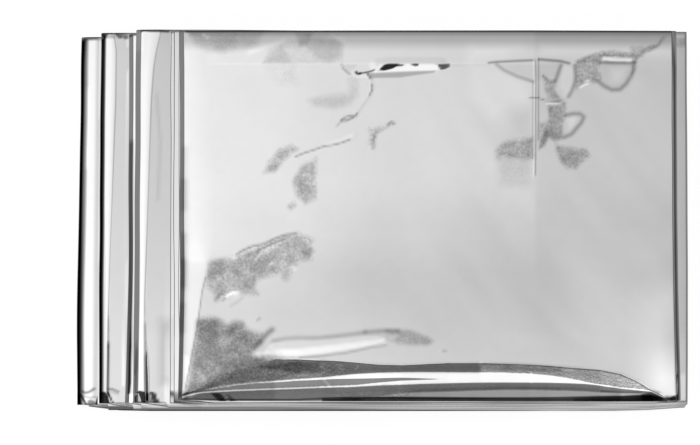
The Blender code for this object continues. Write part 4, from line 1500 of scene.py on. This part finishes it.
world = bpy.data.worlds.new("room")
bpy.context.scene.world = world
world.use_nodes = True
air = world.node_tree
facing = wired(air, "SeparateXYZ", {0: wired(air, "TexCoord", {}, "Generated")}, 0).node.outputs


def tone(value):
    """The light that makes silver foil look this pale, from 0 to 1."""
    return value**GAMMA / SILVER / STRENGTH


def grey(light):
    """A light as an even colour."""
    return (light, light, light, 1.0)


def share_of(axis, low, high):
    """How far from low to high a direction lies along an axis."""
    return wired(air, "MapRange", {"Value": facing[axis], "From Min": low, "From Max": high}, "Result")


def blend(factor, first, second):
    """From one light to another, each a number or a socket."""
    first, second = [grey(v) if isinstance(v, float) else v for v in (first, second)]
    return wired(air, "Mix", {"Factor": factor, "A": first, "B": second}, "Result", data_type="RGBA")


def light_ramp(axis, stops, unit, ahead=0.0):
    """Brightness against how far a foil is tipped, in degrees along one axis.

    A mirror tipped by an angle turns the view by twice that angle. ahead is how far off
    overhead a level foil already looks along this axis.
    """
    color = wired(air, "ValToRGB", {"Fac": share_of(axis, -1.0, 1.0)}, "Color")
    elements = color.node.color_ramp.elements
    while len(elements) < len(stops):
        elements.new(0.5)
    for element, (tipped, value) in zip(elements, stops):
        element.position = (math.sin(math.radians(2.0 * tipped + ahead)) + 1.0) / 2.0
        element.color = grey(tone(value) / unit)
    return color


print("the light overhead is", round(tone(OVERHEAD), 2))

# %% The room overhead
LEVEL_AHEAD = 5.0  # degrees
side_to_side = light_ramp("X", (
    # degrees tipped, tone
    (-45.0, 0.45), (-38.5, 0.40), (-37.3, 0.03), (-34.2, 0.03), (-33.2, 0.45), (-27.0, 0.52),
    (-21.0, 0.58), (-15.0, 0.78), (-10.0, 0.97), (-8.0, 1.0), (-5.0, 1.0), (-3.0, 0.95),
    (-1.5, 0.90), (0.0, OVERHEAD), (1.5, 0.80), (3.0, 0.77), (5.0, 0.72), (8.0, 0.66),
    (12.0, 0.75), (14.5, 0.92), (19.0, 0.92), (21.5, 0.58), (30.0, 0.58), (45.0, 0.5),
), 1.0)
front_to_back = light_ramp("Y", (
    (-42.0, 0.6), (-33.5, 0.55), (-28.0, 0.26), (-24.5, 0.30), (-20.7, 0.40), (-18.6, 0.46),
    (-18.2, 0.60), (-17.0, 0.60), (-16.5, 1.0), (-12.0, 1.0), (-11.2, 0.52), (-9.5, 0.50),
    (-9.0, 0.33), (-6.8, 0.33), (-5.8, 0.89), (-4.0, 0.90), (-2.0, 0.87), (0.0, OVERHEAD),
    (2.0, 0.80), (5.0, 0.74), (8.0, 0.66), (12.0, 0.62), (20.0, 0.6), (30.0, 0.6), (42.0, 0.6),
), tone(OVERHEAD), LEVEL_AHEAD)
overhead = wired(air, "Mix", {"Factor": 1.0, "A": side_to_side, "B": front_to_back}, "Result",
                 data_type="RGBA", blend_type="MULTIPLY")
print("the room overhead is made of two ramps")

# %% The room low down
SIDES = 0.5  # tone at the horizon to left and right
AHEAD, BEHIND = 0.72, 0.48  # at the horizon
AHEAD_UNDER, BEHIND_UNDER = 0.66, 0.35  # under it
BACKDROP = 0.97
TURNS = 0.2  # how far to both sides of overhead ahead turns into behind
SKY_FROM, SKY_TO = 0.22, 0.30  # how far up the grey turns into the ramps
UNDER = -0.10  # how far down the horizon ends

sideways = calc(air, "MULTIPLY", facing["X"], facing["X"])
behind = share_of("Y", -TURNS, TURNS)
horizon = blend(sideways, blend(behind, tone(AHEAD), tone(BEHIND)), tone(SIDES))
below = blend(sideways, blend(behind, tone(AHEAD_UNDER), tone(BEHIND_UNDER)), tone(SIDES))
sky = blend(share_of("Z", SKY_FROM, SKY_TO), horizon, overhead)
room = blend(share_of("Z", UNDER, 0.0), below, sky)
seen = wired(air, "LightPath", {}, "Is Camera Ray")
background = air.nodes["Background"].inputs
air.links.new(blend(seen, room, BACKDROP / STRENGTH), background["Color"])
background["Strength"].default_value = STRENGTH
print("room:", len(air.nodes), "nodes")

# %% [markdown]
# ## The camera
# The packet is seen from a metre above, tilted five degrees so that its front wall shows. A
# wide lens from close by would splay its sides, so the lens is long. Its focal length follows
# from how many millimetres one pixel spans at the packet.

# %% Camera
LOOK_AT = Vector((-7.1, -1.1, 20.0)) * MM
DISTANCE = 1.0
TILT = math.radians(5.0)
MM_PER_PIXEL, PIXELS_WIDE = 0.2196, 700
SENSOR = 36.0
lens = bpy.data.cameras.new("camera")
lens.sensor_width = SENSOR
lens.lens = SENSOR * (DISTANCE / MM) / (MM_PER_PIXEL * PIXELS_WIDE)
lens.clip_start = 0.01
camera = bpy.data.objects.new("camera", lens)
bpy.context.scene.collection.objects.link(camera)
camera.location = LOOK_AT + Vector((0.0, -math.sin(TILT), math.cos(TILT))) * DISTANCE
camera.rotation_euler = (TILT, 0.0, 0.0)
bpy.context.scene.camera = camera
bpy.context.scene.view_settings.view_transform = "Standard"
print("lens", round(lens.lens, 1), "mm")

# %% [markdown]
# ## Hand over
# Both sheets stand for the one solid and ride on its one body. They are cut from the same
# strip, 81 mm wide and 2.1 m long, so their flat lengths add up to it. The panel lies on the
# strip. It could be one sheet with it, but two are easier to keep apart where they touch.

for piece in (strip, top_panel):
    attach(piece, "root")
    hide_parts("foil_blanket")
print("pieces:", strip.name, top_panel.name)

# %% The end
print("the scene is built")
